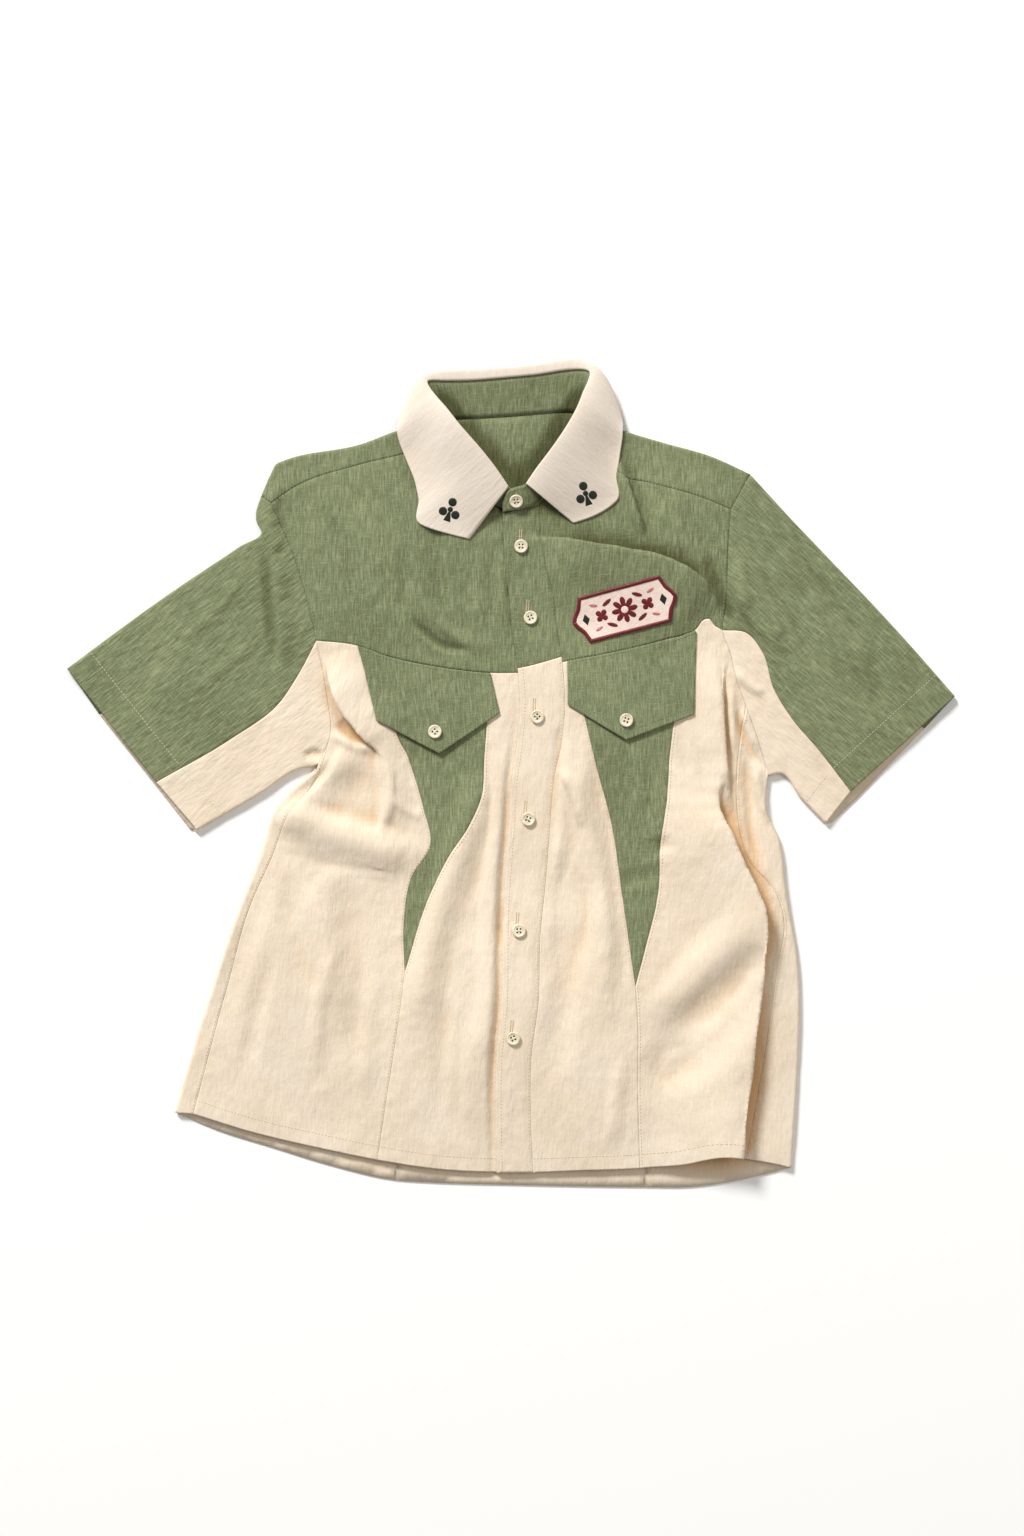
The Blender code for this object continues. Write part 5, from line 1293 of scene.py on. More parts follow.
def placket():
    """The button band, and over it the placket on the left front, green above the chest and cream below."""
    cloth("button_band_cloth", CREAM_FINISH, Region(front, [
        seam(RIGHT_FRONT_EDGE),
        free(straight(RIGHT_FRONT_EDGE[-1], BAND_EDGE[-1])),
        free(BAND_EDGE),
        seam(straight(BAND_EDGE[0], RIGHT_FRONT_EDGE[0])),
    ]), rests_on="back_centre_cloth")
    free_corner = crossing(PLACKET_JOIN, PLACKET_FREE_EDGE)
    sewn_corner = crossing(PLACKET_JOIN, PLACKET_SEWN_EDGE)
    for part, finish, end in (("upper", GREEN_FINISH, 0), ("lower", CREAM_FINISH, -1)):
        cloth(f"placket_{part}_cloth", finish, Region(front, [
            free(PLACKET_FREE_EDGE, PLACKET_FREE_EDGE[end], free_corner, rows=(PLACKET_ROW,)),
            seam(PLACKET_JOIN, free_corner, sewn_corner),
            flush(PLACKET_SEWN_EDGE, sewn_corner, PLACKET_SEWN_EDGE[end], rows=TOPSTITCH),
            free(straight(PLACKET_SEWN_EDGE[end], PLACKET_FREE_EDGE[end])),
        ]), lift=placket_lift, rests_on="button_band_cloth")


def flaps():
    """The two pointed pocket flaps, sewn on at the yoke seams."""
    for side, grain, yoke_seam, corners, below in (
        ("right", 5, RIGHT_YOKE_SEAM, [(-133, 110), (-127, 87), (-117, 45), (-62, 17), (-10, 52), (-18, 87)],
         "front_insert_right_cloth"),
        ("left", 3, LEFT_YOKE_SEAM, [(49, 97), (49.5, 59), (100, 29), (159, 51), (160, 86), (161, 122)],
         "front_insert_left_cloth"),
    ):
        ends = flat(corners)
        sides = [free(yoke_seam, ends[0], ends[-1], rows=TOPSTITCH)]
        sides += [free(straight_as_seen(one, other), rows=FLAP_ROWS)
                  for one, other in zip(corners, corners[1:])]
        cloth(f"flap_{side}_cloth", GREEN_FINISH, Region(front, sides), lift=flap_lift, grain=grain,
              rests_on=below)


# Half the badge's outline, from its middle: the other half is the same turned round.
BADGE_OUTLINE = ((-36, 20), (0, 20), (36, 20), (39.5, 10.5), (44, 4.6), (46, 0), (44, -4.6), (39.5, -10.5))
BADGE_CLOTH = 1.0
BADGE_MIDDLE = CLOTH / 2 + 0.15 + BADGE_CLOTH / 2
BADGE_FACE = BADGE_MIDDLE + BADGE_CLOTH / 2
# The overlocked edge is a tube of thread, a flat oval across. Every other of its points stands out a little.
BORDER_HALF_WIDTH, BORDER_HALF_HEIGHT = 1.7, 0.95
BORDER_INSET, BORDER_LEVEL = 0.9, -0.2  # of its middle, from the outline and from the badge's face
BORDER_THREAD, BORDER_RIDGE = 0.7, 0.09  # from point to point, and the share by which each second one is out
BORDER_SIDES = 10


def badge_lift(points):
    """How far up the badge lies on the cloth under it."""
    return np.full(len(points), BADGE_MIDDLE)


def on_badge(points, rise):
    """Where points of the badge, measured from its middle, lie `rise` above its face."""
    tilt = np.array(Matrix.Rotation(BADGE_TILT, 2))
    where = flat(np.array(points, float) @ tilt.T + BADGE_CENTRE)
    return front(where) + normals_of(where) * (BADGE_FACE + small_relief(where) + rise)[:, None]


def flower(petals):
    """The reach of a flower with this many petals, of size 1."""
    return lambda angle: 0.42 + 0.58 * abs(math.cos(petals * angle / 2)) ** 0.7


def lozenge(angle):
    """A square on its point, made narrower one way."""
    return 1 / (abs(math.cos(angle)) + 1.6 * abs(math.sin(angle)))


def leaf(angle):
    """A leaf that points both ways."""
    return 1 / math.sqrt(math.cos(angle) ** 2 + (2.9 * math.sin(angle)) ** 2)


def foot(angle):
    """A flared foot that points to its middle."""
    spread = abs((math.degrees(angle) % 360) - 270)
    return 1 / math.cos(math.radians(spread)) if spread < 18 else 0.22


def disc(_):
    """A disc reaches as far at every angle."""
    return 1.0


# An embroidered motif: its form, colour, place, size and turn in degrees.
Motif = namedtuple("Motif", "form satin x y size turn")
CLUB_LOBE, CLUB_SPREAD, CLUB_FOOT = 4.0, 6.5, 11.5


def club(x, y, turned_by):
    """A suit of clubs: three equal discs and a foot."""
    lobes = []
    for angle in (90, 210, 330):
        way = math.radians(angle + turned_by)
        lobes.append(Motif(disc, "green", x + CLUB_SPREAD * math.cos(way), y + CLUB_SPREAD * math.sin(way),
                           CLUB_LOBE, 0))
    return [*lobes, Motif(foot, "green", x, y, CLUB_FOOT, turned_by)]


BADGE_MOTIFS = (
    Motif(flower(8), "maroon", 0, 0, 12.5, 0),
    Motif(disc, "pale", 0, 0, 3.6, 0),
    Motif(flower(4), "maroon", -20.5, 0, 6.4, 45),
    Motif(flower(4), "maroon", 20.5, 0, 6.4, 45),
    *(Motif(leaf, "maroon", x, y, 5.2, turn)
      for x, y, turn in ((-13.5, 10, 28), (13.5, 10, -28), (-13.5, -10, -28), (13.5, -10, 28))),
    *(Motif(leaf, "rose", x, y, 4.0, turn)
      for x, y, turn in ((-25.5, 10.5, -20), (25.5, 10.5, 20), (-25.5, -10.5, 20), (25.5, -10.5, -20))),
    Motif(lozenge, "green", -34.5, 0, 5.6, 90),
    Motif(lozenge, "green", 34.5, 0, 5.6, 90),
)
MOTIF_RINGS, MOTIF_STEPS = 5, 64
MOTIF_RISE, MOTIF_SUNK = 0.55, 0.25  # of its middle above the cloth, and of its edge below it


def motif_points(motif):
    """Rings of points that fill a motif, with how high each stands."""
    turn_by = math.radians(motif.turn)
    rings = []
    for ring in range(MOTIF_RINGS + 1):
        share = ring / MOTIF_RINGS
        points = []
        for k in range(MOTIF_STEPS):
            angle = 2 * math.pi * k / MOTIF_STEPS
            way = angle + turn_by
            reach = motif.form(angle) * motif.size * max(share, 0.01)
            points.append((motif.x + reach * math.cos(way), motif.y + reach * math.sin(way)))
        sunk = MOTIF_SUNK if ring == MOTIF_RINGS else 0
        rings.append((points, MOTIF_RISE * math.sqrt(1 - share**3) - sunk))
    return rings


def embroidered(name, material, motifs, lay_down):
    """Motifs as one piece. lay_down(points, rise) gives where they lie."""
    mesh = bmesh.new()
    pattern = []
    for motif in motifs:
        rings = []
        for points, rise in motif_points(motif):
            laid = lay_down(points, np.full(len(points), rise))
            rings.append([mesh.verts.new(p) for p in laid])
            pattern.extend(points)
        skin(mesh, closed(rings))
    bmesh.ops.recalc_face_normals(mesh, faces=mesh.faces)
    mesh.verts.index_update()
    finished(name, mesh, [material], pattern=pattern)


def overlocked_edge(outline):
    """Thread sewn close together over the edge of the badge."""
    line = np.concatenate([np.linspace(one, other, max(2, round(math.dist(one, other) / BORDER_THREAD)))[:-1]
                           for one, other in zip(outline, np.roll(outline, -1, axis=0))])
    inward = -inward_normals(line) if signed_area(line) < 0 else inward_normals(line)
    ridge = 1 + BORDER_RIDGE * np.cos(np.arange(len(line)) * math.pi)
    mesh = bmesh.new()
    rings, pattern = [], []
    for k in range(BORDER_SIDES):
        angle = 2 * math.pi * k / BORDER_SIDES
        out = (BORDER_HALF_WIDTH * math.cos(angle) * ridge)[:, None]
        rise = BORDER_LEVEL + BORDER_HALF_HEIGHT * math.sin(angle) * ridge
        rings.append([mesh.verts.new(p) for p in on_badge(line + inward * (BORDER_INSET - out), rise)])
        pattern.extend((float(k), i * BORDER_THREAD) for i in range(len(line)))
    skin(mesh, closed([*rings, rings[0]]))
    bmesh.ops.recalc_face_normals(mesh, faces=mesh.faces)
    mesh.verts.index_update()
    finished("badge_overlocked_edge", mesh, [MAROON_SATIN], pattern=pattern)


def badge():
    """The chest badge: a plate with a bracket at each end, an overlocked edge and an embroidered flower."""
    whole = [Vector(p) for p in BADGE_OUTLINE] + [-Vector(p) for p in BADGE_OUTLINE]
    outline = np.array(whole)
    tilt = np.array(Matrix.Rotation(BADGE_TILT, 2))
    loop = flat(outline @ tilt.T + BADGE_CENTRE)
    sides = [free(straight(one, other)) for one, other in zip(loop, np.roll(loop, -1, axis=0))]
    cloth("chest_badge_cloth", BADGE_FINISH, Region(front, sides), wall=BADGE_CLOTH, lift=badge_lift,
          grain=90 + math.degrees(BADGE_TILT), rests_on="front_yoke_left_cloth")
    overlocked_edge(outline)
    for name, satin, key, above in (
        ("badge_flowers", MAROON_SATIN, "maroon", 0.0),
        ("badge_end_lozenges", DARK_GREEN_SATIN, "green", 0.0),
        ("badge_flower_eye", BADGE_TWILL, "pale", 0.35),
        ("badge_rose_leaves", ROSE_SATIN, "rose", 0.0),
    ):
        motifs = [motif for motif in BADGE_MOTIFS if motif.satin == key]
        embroidered(name, satin, motifs, lambda points, rise, above=above: on_badge(points, rise + above))


# ---------------------------------------------------------------- the collar

# The stand, from its buttoned end over the placket, round the wearer's left and the back, to its other end
# underneath. Each row has the neckline, how far the stand starts above the cloth there, and its top edge.
Stand = namedtuple("Stand", "neck_x neck_y neck_lift top_x top_y top_z")
STAND = [Stand(*row) for row in (
    (-7.2, 226.2, 4.2, -7.2, 234.5, 13.5),
    (-3.5, 227.0, 4.2, -3.0, 243.5, 16.5),
    (5.0, 228.2, 4.2, 4.0, 247.5, 17.5),
    (14.0, 230.7, 4.0, 13.0, 250.5, 18.5),
    (24.0, 235.5, 2.6, 21.5, 263.0, 20.5),
    (38.0, 252.0, 1.7, 33.0, 278.0, 23.0),
    (50.0, 272.0, 1.7, 45.0, 295.0, 24.5),
    (57.0, 291.0, 2.0, 55.5, 313.0, 22.5),
    (58.8, 303.0, 2.0, 63.0, 331.0, 17.5),
    (56.0, 311.8, 2.0, 68.0, 347.5, 13.0),
    (45.0, 313.7, 1.7, 50.0, 349.5, 10.5),
    (22.0, 312.0, 1.7, 23.0, 345.5, 9.5),
    (-4.0, 310.0, 1.7, -4.0, 343.0, 9.5),
    (-30.0, 308.5, 1.7, -34.0, 340.5, 9.5),
    (-50.0, 307.5, 1.7, -57.0, 340.0, 10.5),
    (-59.0, 305.0, 1.9, -72.0, 339.5, 13.0),
    (-59.3, 296.5, 2.0, -67.0, 329.0, 17.5),
    (-57.5, 284.0, 1.7, -56.0, 316.0, 22.5),
    (-48.0, 266.5, 1.7, -43.0, 299.5, 24.5),
    (-34.0, 250.5, 1.7, -27.0, 281.5, 22.5),
    (-18.0, 235.5, 1.7, -13.0, 264.0, 19.5),
    (-6.0, 229.5, 1.7, -2.0, 248.0, 16.0),
    (4.0, 229.8, 1.7, 6.5, 246.0, 14.5),
    (14.0, 231.5, 1.7, 15.0, 247.5, 14.0),
)]

STAND_SINK = 1.2  # how much lower the stand that shows starts than its solid
ON_SHIRT = None  # in place of a height, where the fall's edge rests on the front
FALL_REST = 1.8  # of the middle of the fall's edge over the middle of the cloth under it
FALL_RISE = 1.1  # of the fall's middle over the stand's top edge
FALL_ARCH = 2.0  # how much higher still the fall aims where it leaves the stand
# The fall. Each row has its outer edge, the direction in degrees in which it goes over, and how far it aims
# that way where it leaves the stand, and again where it comes to its edge.
Fall = namedtuple("Fall", "edge_x edge_y edge_z swing out_top out_edge")
FALL = [Fall(*row) for row in (
    (54, 217, ON_SHIRT, -40, 15, -15),
    (74, 224, ON_SHIRT, -37, 15, -15),
    (93, 238, ON_SHIRT, -34, 15, -15),
    (92, 256, ON_SHIRT, -40, 15, -15),
    (95, 279, ON_SHIRT, -42, 15, -13),
    (97, 299, 9.5, -25, 14, -6),
    (91, 315, 1.8, 52, 17, 8),
    (62, 312, 0.8, 80, 28, 26),
    (28, 307, 0.8, 88, 27, 26),
    (-3, 305, 0.8, 90, 26, 26),
    (-32, 304, 0.8, 91, 27, 26),
    (-60, 307, 0.8, 98, 26, 22),
    (-90, 312, 1.8, 130, 16, 8),
    (-99, 298, 9.5, 205, 14, -6),
    (-93, 277, ON_SHIRT, 222, 15, -13),
    (-84, 255, ON_SHIRT, 228, 15, -15),
    (-80, 235, ON_SHIRT, 226, 15, -15),
    (-79, 216, ON_SHIRT, 224, 15, -15),
    (-36, 203, ON_SHIRT, 233, 15, -15),
)]
FALL_FIRST = 3  # the row of the stand where the fall starts
FALL_ACROSS = np.linspace(0, 1, 33)
STAND_ACROSS = np.linspace(0, 1, 9)
ROW_DOUBLINGS = 3
COLLAR_ROW = 5.0  # how far inside the fall's edge its stitches run
COLLAR_SHOWS = 0.2  # there is no row where the cloth faces up by less than this
ABOVE_ALL, PAST_THE_FALL = 60, 16  # heights: above the whole shirt, and of a motif's points past the edge


def stand_row(row):
    """The points of a stand row on the neckline and on the top edge."""
    seat = [(row.neck_x, row.neck_y)]
    sheet = back if row.neck_y > NECK_RISE_TO else front
    neck = sheet(flat(seat))[0] + (0, 0, row.neck_lift - STAND_SINK)
    return neck, np.array([row.top_x, row.top_y, row.top_z])


def fall_row(row, top):
    """The points across the fall, on a smooth curve from the stand's top edge to the outer edge."""
    edge = np.array([row.edge_x, row.edge_y, 0.0])
    edge[2] = front(flat([edge[:2]]))[0, 2] + FALL_REST if row.edge_z is ON_SHIRT else row.edge_z
    swing = math.radians(row.swing)
    way = np.array([math.cos(swing), math.sin(swing), 0])
    start = top + (0, 0, FALL_RISE)
    handles = (start, start + way * row.out_top + (0, 0, FALL_ARCH), edge + way * row.out_edge, edge)
    shares = ((1 - FALL_ACROSS) ** 3, 3 * FALL_ACROSS * (1 - FALL_ACROSS) ** 2,
              3 * FALL_ACROSS**2 * (1 - FALL_ACROSS), FALL_ACROSS**3)
    return sum(share[:, None] * handle for share, handle in zip(shares, handles))


def with_rows_between(rows):
    """The rows with another between each two, on a smooth curve through them."""
    rows = np.array(rows)
    more = []
    for i in range(len(rows) - 1):
        before, after = rows[max(i - 1, 0)], rows[min(i + 2, len(rows) - 1)]
        more += [rows[i], (9 * (rows[i] + rows[i + 1]) - before - after) / 16]
    return np.array(more + [rows[-1]])


def band(name, material, rows):
    """A piece of collar through rows of points, and the rows themselves."""
    for _ in range(ROW_DOUBLINGS):
        rows = with_rows_between(rows)
    mesh = bmesh.new()
    made = [[mesh.verts.new(p) for p in row] for row in rows]
    along = lengths_along(rows[:, -1])
    widths = np.linalg.norm(np.diff(rows, axis=1), axis=2).sum(axis=1)
    across = np.linspace(0, 1, rows.shape[1]) * widths.mean()
    pattern = [(a, b) for a in along for b in across]
    skin(mesh, made)
    bmesh.ops.recalc_face_normals(mesh, faces=mesh.faces)
    mesh.verts.index_update()
    length = float(max(along[-1], np.linalg.norm(np.diff(rows[:, 0], axis=0), axis=1).sum())) * MM
    area = sum(face.calc_area() for face in mesh.faces) * MM * MM
    piece = finished(name, mesh, [material], name_of_node(name), COLLAR_CLOTH, pattern)
    return rows


def row_of_stitches(points, up, thread_material):
    """Stitches along a line in space, `up` off the cloth."""
    lengths = lengths_along(points)
    at = np.arange(STITCH_PITCH / 2, lengths[-1], STITCH_PITCH)
    first = places_along(points, lengths, at - STITCH_LENGTH / 2)
    last = places_along(points, lengths, at + STITCH_LENGTH / 2)
    rise = places_along(up, lengths, at)
    rise /= np.linalg.norm(rise, axis=1)[:, None]
    STITCHES.setdefault(thread_material.name, []).append(
        (first + rise * COLLAR_CLOTH / 2, last + rise * COLLAR_CLOTH / 2, rise))


def row_inside_edge(rows, distance):
    """The line on the fall that runs `distance` inside its outer edge, and which way is out of the cloth."""
    line, outs = [], []
    for k, row in enumerate(rows):
        from_edge = row[::-1]
        line.append(places_along(from_edge, lengths_along(from_edge), [distance])[0])
        neighbour = rows[min(k + 1, len(rows) - 1)] - rows[max(k - 1, 0)]
        out = np.cross(row[-4] - row[-1], neighbour[-3])
        outs.append(out / max(np.linalg.norm(out), TINY))
    return np.array(line), np.array(outs)


COLLAR_CLUBS = (*club(-52.5, 228.5, -18), *club(64.5, 242.5, 18))


def collar():
    """The stand, the fall that goes over it, and a club on each point of the fall."""
    ends = [stand_row(row) for row in STAND]
    band("collar_stand_cloth", GREEN,
         [[neck + (top - neck) * share for share in STAND_ACROSS] for neck, top in ends])
    tops = [top for _, top in ends[FALL_FIRST : FALL_FIRST + len(FALL)]]
    rows = band("collar_fall_cloth", IVORY,
                [fall_row(row, top) for row, top in zip(FALL, tops)])
    line, outs = row_inside_edge(rows, COLLAR_ROW)
    visible = outs[:, 2] > COLLAR_SHOWS
    row_of_stitches(line[visible], outs[visible], LIGHT_THREAD)
    mesh = bmesh.new()
    skin(mesh, [[mesh.verts.new(p) for p in row] for row in rows])
    mesh.normal_update()
    surface = BVHTree.FromBMesh(mesh)
    mesh.free()

    def on_fall(points, rise):
        """Where points lie `rise` above the fall's face, straight below them."""
        laid = []
        for (x, y), above in zip(points, rise):
            spot, normal, _, _ = surface.ray_cast(Vector((x, y, ABOVE_ALL)), Vector((0, 0, -1)))
            if spot is None:
                spot, normal = Vector((x, y, PAST_THE_FALL)), Vector((0, 0, 1))
            normal = normal if normal.z > 0 else -normal
            laid.append(spot + normal * (COLLAR_CLOTH / 2 + above))
        return laid

    embroidered("collar_clubs", DARK_GREEN_SATIN, COLLAR_CLUBS, on_fall)


# ---------------------------------------------------------------- buttons

STAND_BUTTON = (5, 236)
PLACKET_BUTTONS = ((9, 197), (17, 135), (23, 49), (15, -40), (7, -137), (2, -230))
FLAP_BUTTONS = {"right": (-66, 36), "left": (100, 46)}
BUTTON_GAP = 0.35
STAND_BUTTON_TURN, BUTTON_TURN = 10, 23  # in degrees: of the stand's button, and from each other to the next
# The turned profile of a button, radius and height: a rounded rim round a dished middle.
BUTTON_PROFILE = ((4.6, 0.0), (5.5, 0.35), (5.95, 1.0), (5.9, 1.7), (5.5, 2.2), (4.9, 2.3), (4.3, 2.05),
                  (3.8, 1.75), (3.0, 1.65), (1.6, 1.6))
HOLE_SPACING, HOLE_RADIUS, HOLE_FLOOR = 1.45, 0.85, 0.9
HOLES = [(x, y) for x in (-HOLE_SPACING, HOLE_SPACING) for y in (-HOLE_SPACING, HOLE_SPACING)]
BUTTON_STEPS, HOLE_STEPS = 40, 12


def button_mesh():
    """A button with four holes."""
    lathe = bmesh.new()
    rings = []
    for radius, height in BUTTON_PROFILE:
        angles = [2 * math.pi * k / BUTTON_STEPS for k in range(BUTTON_STEPS)]
        rings.append([lathe.verts.new((radius * math.cos(a), radius * math.sin(a), height)) for a in angles])
    skin(lathe, closed(rings))
    lathe.faces.new(rings[0][::-1])
    lathe.faces.new(rings[-1])
    bmesh.ops.recalc_face_normals(lathe, faces=lathe.faces)
    blank = bpy.data.meshes.new("button blank")
    lathe.to_mesh(blank)
    lathe.free()
    drill = bmesh.new()
    for x, y in HOLES:
        bmesh.ops.create_cone(drill, cap_ends=True, segments=HOLE_STEPS, radius1=HOLE_RADIUS,
                              radius2=HOLE_RADIUS, depth=8, matrix=Matrix.Translation((x, y, 1)))
    drills = bpy.data.meshes.new("button drills")
    drill.to_mesh(drills)
    drill.free()
    body, tool = new_object("button blank", blank), new_object("button drills", drills)
    cut = body.modifiers.new("holes", "BOOLEAN")
    cut.object, cut.operation, cut.solver = tool, "DIFFERENCE", "EXACT"
    drilled = bpy.data.meshes.new_from_object(body.evaluated_get(bpy.context.evaluated_depsgraph_get()))
    for made in (body, tool):
        bpy.data.objects.remove(made)
    return drilled


def button(name, node, seat, normal, turn_by, drilled):
    """A button that faces along a normal, with a disc of thread down in each of its holes, coloured dark as
    painted shade.
    """
    mesh = bmesh.new()
    mesh.from_mesh(drilled)
    for face in mesh.faces:
        face.material_index = 0
    # Each hole gets a disc of the dark hole thread, which paints the shade down in the hole.
    angles = [2 * math.pi * k / HOLE_STEPS for k in range(HOLE_STEPS)]
    for x, y in HOLES:
        rim = [(x + HOLE_RADIUS * math.cos(a), y + HOLE_RADIUS * math.sin(a), HOLE_FLOOR) for a in angles]
        mesh.faces.new([mesh.verts.new(p) for p in rim]).material_index = 1
    face_up = Vector((0, 0, 1)).rotation_difference(Vector(normal)).to_matrix()
    spin = Matrix.Rotation(math.radians(turn_by), 3, "Z")
    bmesh.ops.rotate(mesh, verts=mesh.verts, matrix=face_up @ spin)
    bmesh.ops.translate(mesh, verts=mesh.verts, vec=Vector(seat + normal * BUTTON_GAP))
    finished(name, mesh, [RESIN, HOLE_THREAD_PAINTED_SHADE], node)


def buttons():
    """The button of the stand, those down the placket, and one on each flap."""
    drilled = button_mesh()
    neck, top = stand_row(STAND[2])
    face = (top - neck) / np.linalg.norm(top - neck)
    normal = np.cross((1, 0, 0), face)
    seat = neck + face * (STAND_BUTTON[1] - neck[1]) / face[1] + normal * COLLAR_CLOTH / 2
    button("stand_button_resin", "stand_button", seat, normal, STAND_BUTTON_TURN, drilled)
    places = [(f"placket_button_{number}", place, one_layer_up)
              for number, place in enumerate(PLACKET_BUTTONS, 1)]
    places += [("flap_button_" + side, place, flap_lift) for side, place in FLAP_BUTTONS.items()]
    for number, (node, place, lift) in enumerate(places):
        where = flat([place])
        normal = normals_of(where)[0]
        seat = front(where)[0] + normal * (lift(where) + CLOTH / 2 + small_relief(where))[0]
        button(node + "_resin", node, seat, normal, BUTTON_TURN * number, drilled)


# ---------------------------------------------------------------- buttonholes and stitches

# What shows of each buttonhole above its button, from its lower to its upper end.
BUTTONHOLES = (((14, 139.5), (15, 150)), ((20, 53), (20.5, 65)), ((12, -36), (13, -24)),
               ((5, -133), (6, -121)), ((0, -226), (1, -214)), ((8, 201), (8.5, 211)))
FLAP_HOLE = ((99.5, 50), (99.5, 61))
ZIGZAG_PITCH, ZIGZAG_REACH = 0.55, (0.35, 1.5)  # its stitches run between these distances from the slit


def buttonhole_rows():
    """Close zigzag stitches down both sides of each buttonhole."""
    for holes, lift, thread_material in ((BUTTONHOLES, one_layer_up, CREAM_THREAD),
                                         ((FLAP_HOLE,), flap_lift, GREEN_THREAD)):
        for low, high in holes:
            low, high = np.array(low, float), np.array(high, float)
            way = (high - low) / np.linalg.norm(high - low)
            side = np.array([-way[1], way[0]])
            count = int(np.linalg.norm(high - low) / ZIGZAG_PITCH)
            along = low + (high - low) * np.linspace(0, 1, count)[:, None]
            for sign in (-1, 1):
                ends = [flat(along + side * sign * reach) for reach in ZIGZAG_REACH]
                laid = []
                for where in ends:
                    up = normals_of(where)
                    rise = lift(where) + CLOTH / 2 + small_relief(where)
                    laid.append(front(where) + up * rise[:, None])
                STITCHES.setdefault(thread_material.name, []).append((laid[0], laid[1], up))


# The form of a stitch: rings at a share of its length, with a share of its radius, this far above the cloth.
STITCH_RINGS = ((0.0, 0.35, -0.25), (0.2, 0.9, 0.12), (0.8, 0.9, 0.12), (1.0, 0.35, -0.25))
STITCH_SIDES = 5
SHORTEST_STITCH = 0.2


def stitches():
    """All stitches of one thread as one piece: each a short rod that dips into the cloth at its ends."""
    rings, sides = STITCH_RINGS, STITCH_SIDES
    for thread_material, slot in ((GREEN_THREAD, "green_cotton"), (CREAM_THREAD, "cream_cotton"),
                                  (LIGHT_THREAD, "ivory_twill")):
        rows = STITCHES[thread_material.name]
        first, last, up = (np.concatenate([row[k] for row in rows]) for k in range(3))
        way = last - first
        keep = np.linalg.norm(way, axis=1) > SHORTEST_STITCH
        first, up, way = first[keep], up[keep], way[keep]
        across = np.cross(way, up)
        across /= np.maximum(np.linalg.norm(across, axis=1), TINY)[:, None]
        verts = []
        for share, thick, rise in rings:
            for k in range(sides):
                angle = 2 * math.pi * k / sides
                verts.append(first + way * share + across * STITCH_RADIUS * thick * math.cos(angle)
                             + up * (STITCH_RADIUS * thick * math.sin(angle) + rise))
        points = np.stack(verts, axis=1)
        faces = []
        per = len(rings) * sides
        for n in range(len(points)):
            for r in range(len(rings) - 1):
                for k in range(sides):
                    a, b = n * per + r * sides + k, n * per + r * sides + (k + 1) % sides
                    faces.append((a, b, b + sides, a + sides))
        data = bpy.data.meshes.new(slot + "_stitches")
        data.from_pydata((points.reshape(-1, 3) * MM).tolist(), [], faces)
        data.polygons.foreach_set("use_smooth", [True] * len(faces))
        data.materials.append(thread_material)
        made = new_object(slot + "_stitches", data)
        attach(made, "root")


# ---------------------------------------------------------------- painted shade down in the folds

HOLLOW_CELL = 4.0
HOLLOW_BLUR = 3  # cells each way, twice
HOLLOW_FROM, HOLLOW_DEPTH = 0.8, 5.5  # how far down a hollow starts, and how much further it is at its full
GRID_ORIGIN, GRID_SIZE = np.array([-420.0, -400.0]), (210, 200)


def blurred(grid):
    """A grid with each cell the mean of those round it."""
    for axis in (0, 1, 0, 1):
        grid = sum(np.roll(grid, shift, axis) for shift in range(-HOLLOW_BLUR, HOLLOW_BLUR + 1))
        grid = grid / (2 * HOLLOW_BLUR + 1)
    return grid


def paint_fold_shade():
    """Each cloth's attribute of painted shade in the folds: how far its points lie below the cloth round
    them, from 0 to 1.
    """
    placed = []
    for piece in PIECES:
        points = np.empty(3 * len(piece.data.vertices))
        piece.data.vertices.foreach_get("co", points)
        points = points.reshape(-1, 3) / MM
        cells = ((points[:, :2] - GRID_ORIGIN) / HOLLOW_CELL).astype(int)
        placed.append((piece, points[:, 2], cells[:, 0], cells[:, 1]))
    top = np.zeros(GRID_SIZE)
    for _, height, column, row in placed:
        np.maximum.at(top, (column, row), height)
    around = blurred(top)
    for piece, height, column, row in placed:
        below = np.clip((around[column, row] - height - HOLLOW_FROM) / HOLLOW_DEPTH, 0, 1)
        attribute = piece.data.attributes.new("painted_fold_shade", "FLOAT", "POINT")
        attribute.data.foreach_set("value", smooth_step(below))


# ---------------------------------------------------------------- floor, light and camera

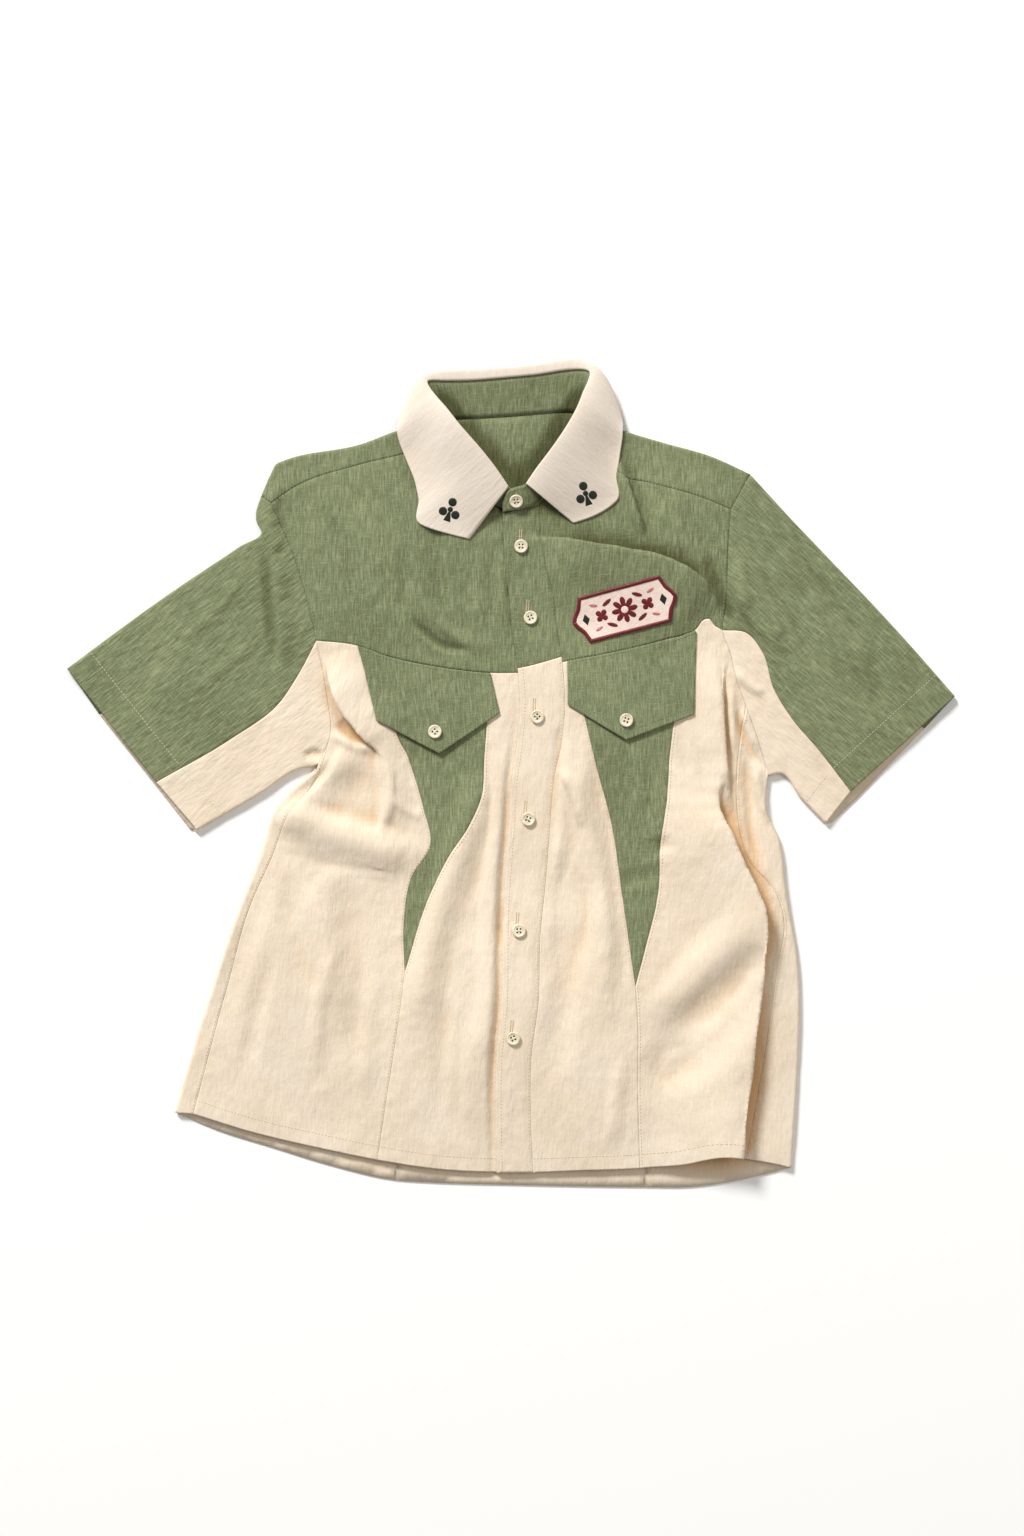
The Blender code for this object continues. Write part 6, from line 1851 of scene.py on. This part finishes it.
# All in metres.
CAMERA_HEIGHT = 3.2
PICTURE_HEIGHT = 1.3363  # of floor, from the top of the picture to its foot
PICTURE_CENTRE = (0.0009, 0.0044)
FLOOR_REACH, FLOOR_LEVEL = 6.0, -0.0004

SENSOR_MM = 36
SKY_STRENGTH = 0.32


def floor():
    """A plain pale floor, just below the cloth."""
    made, _, _ = new_material("pale matt floor", Roughness=0.9, Base_Color=linear("#FCFCFB"))
    data = bpy.data.meshes.new("floor")
    ways = ((-1, -1), (1, -1), (1, 1), (-1, 1))
    corners = [(x * FLOOR_REACH, y * FLOOR_REACH, FLOOR_LEVEL) for x, y in ways]
    data.from_pydata(corners, [], [(0, 1, 2, 3)])
    data.materials.append(made)
    new_object("floor", data)


def lamp(name, place, size, power, colour):
    """A round lamp that points at the origin."""
    light = bpy.data.lights.new(name, "AREA")
    light.shape, light.size, light.energy = "DISK", size, power
    light.color = linear(colour)[:3]
    made = new_object(name, light)
    made.location = place
    made.rotation_euler = (-Vector(place)).to_track_quat("-Z", "Y").to_euler()


def light_and_camera():
    """A weak, even sky, a key light from the top left, a weak fill light, and a camera straight above."""
    world = bpy.data.worlds.new("studio")
    world.use_nodes = True
    sky = world.node_tree.nodes["Background"]
    sky.inputs["Color"].default_value = linear("#FFFDFA")
    sky.inputs["Strength"].default_value = SKY_STRENGTH
    bpy.context.scene.world = world
    lamp("key light", (-3.7, 6.3, 4.8), 2.3, 890, "#FFFFFF")
    lamp("fill light", (3.8, 1.0, 5.0), 3.0, 85, "#FFFAF2")
    bpy.context.scene.view_settings.view_transform = "Standard"
    camera = bpy.data.cameras.new("camera")
    camera.sensor_fit = "VERTICAL"
    camera.sensor_height = SENSOR_MM
    camera.lens = SENSOR_MM * CAMERA_HEIGHT / PICTURE_HEIGHT
    camera.clip_end = 20
    made = new_object("camera", camera)
    made.location = (*PICTURE_CENTRE, CAMERA_HEIGHT)
    bpy.context.scene.camera = made


front_panels()
back_panels()
sleeves()
placket()
flaps()
badge()
collar()
buttons()
buttonhole_rows()
stitches()
paint_fold_shade()
floor()
light_and_camera()

bpy.context.view_layer.update()
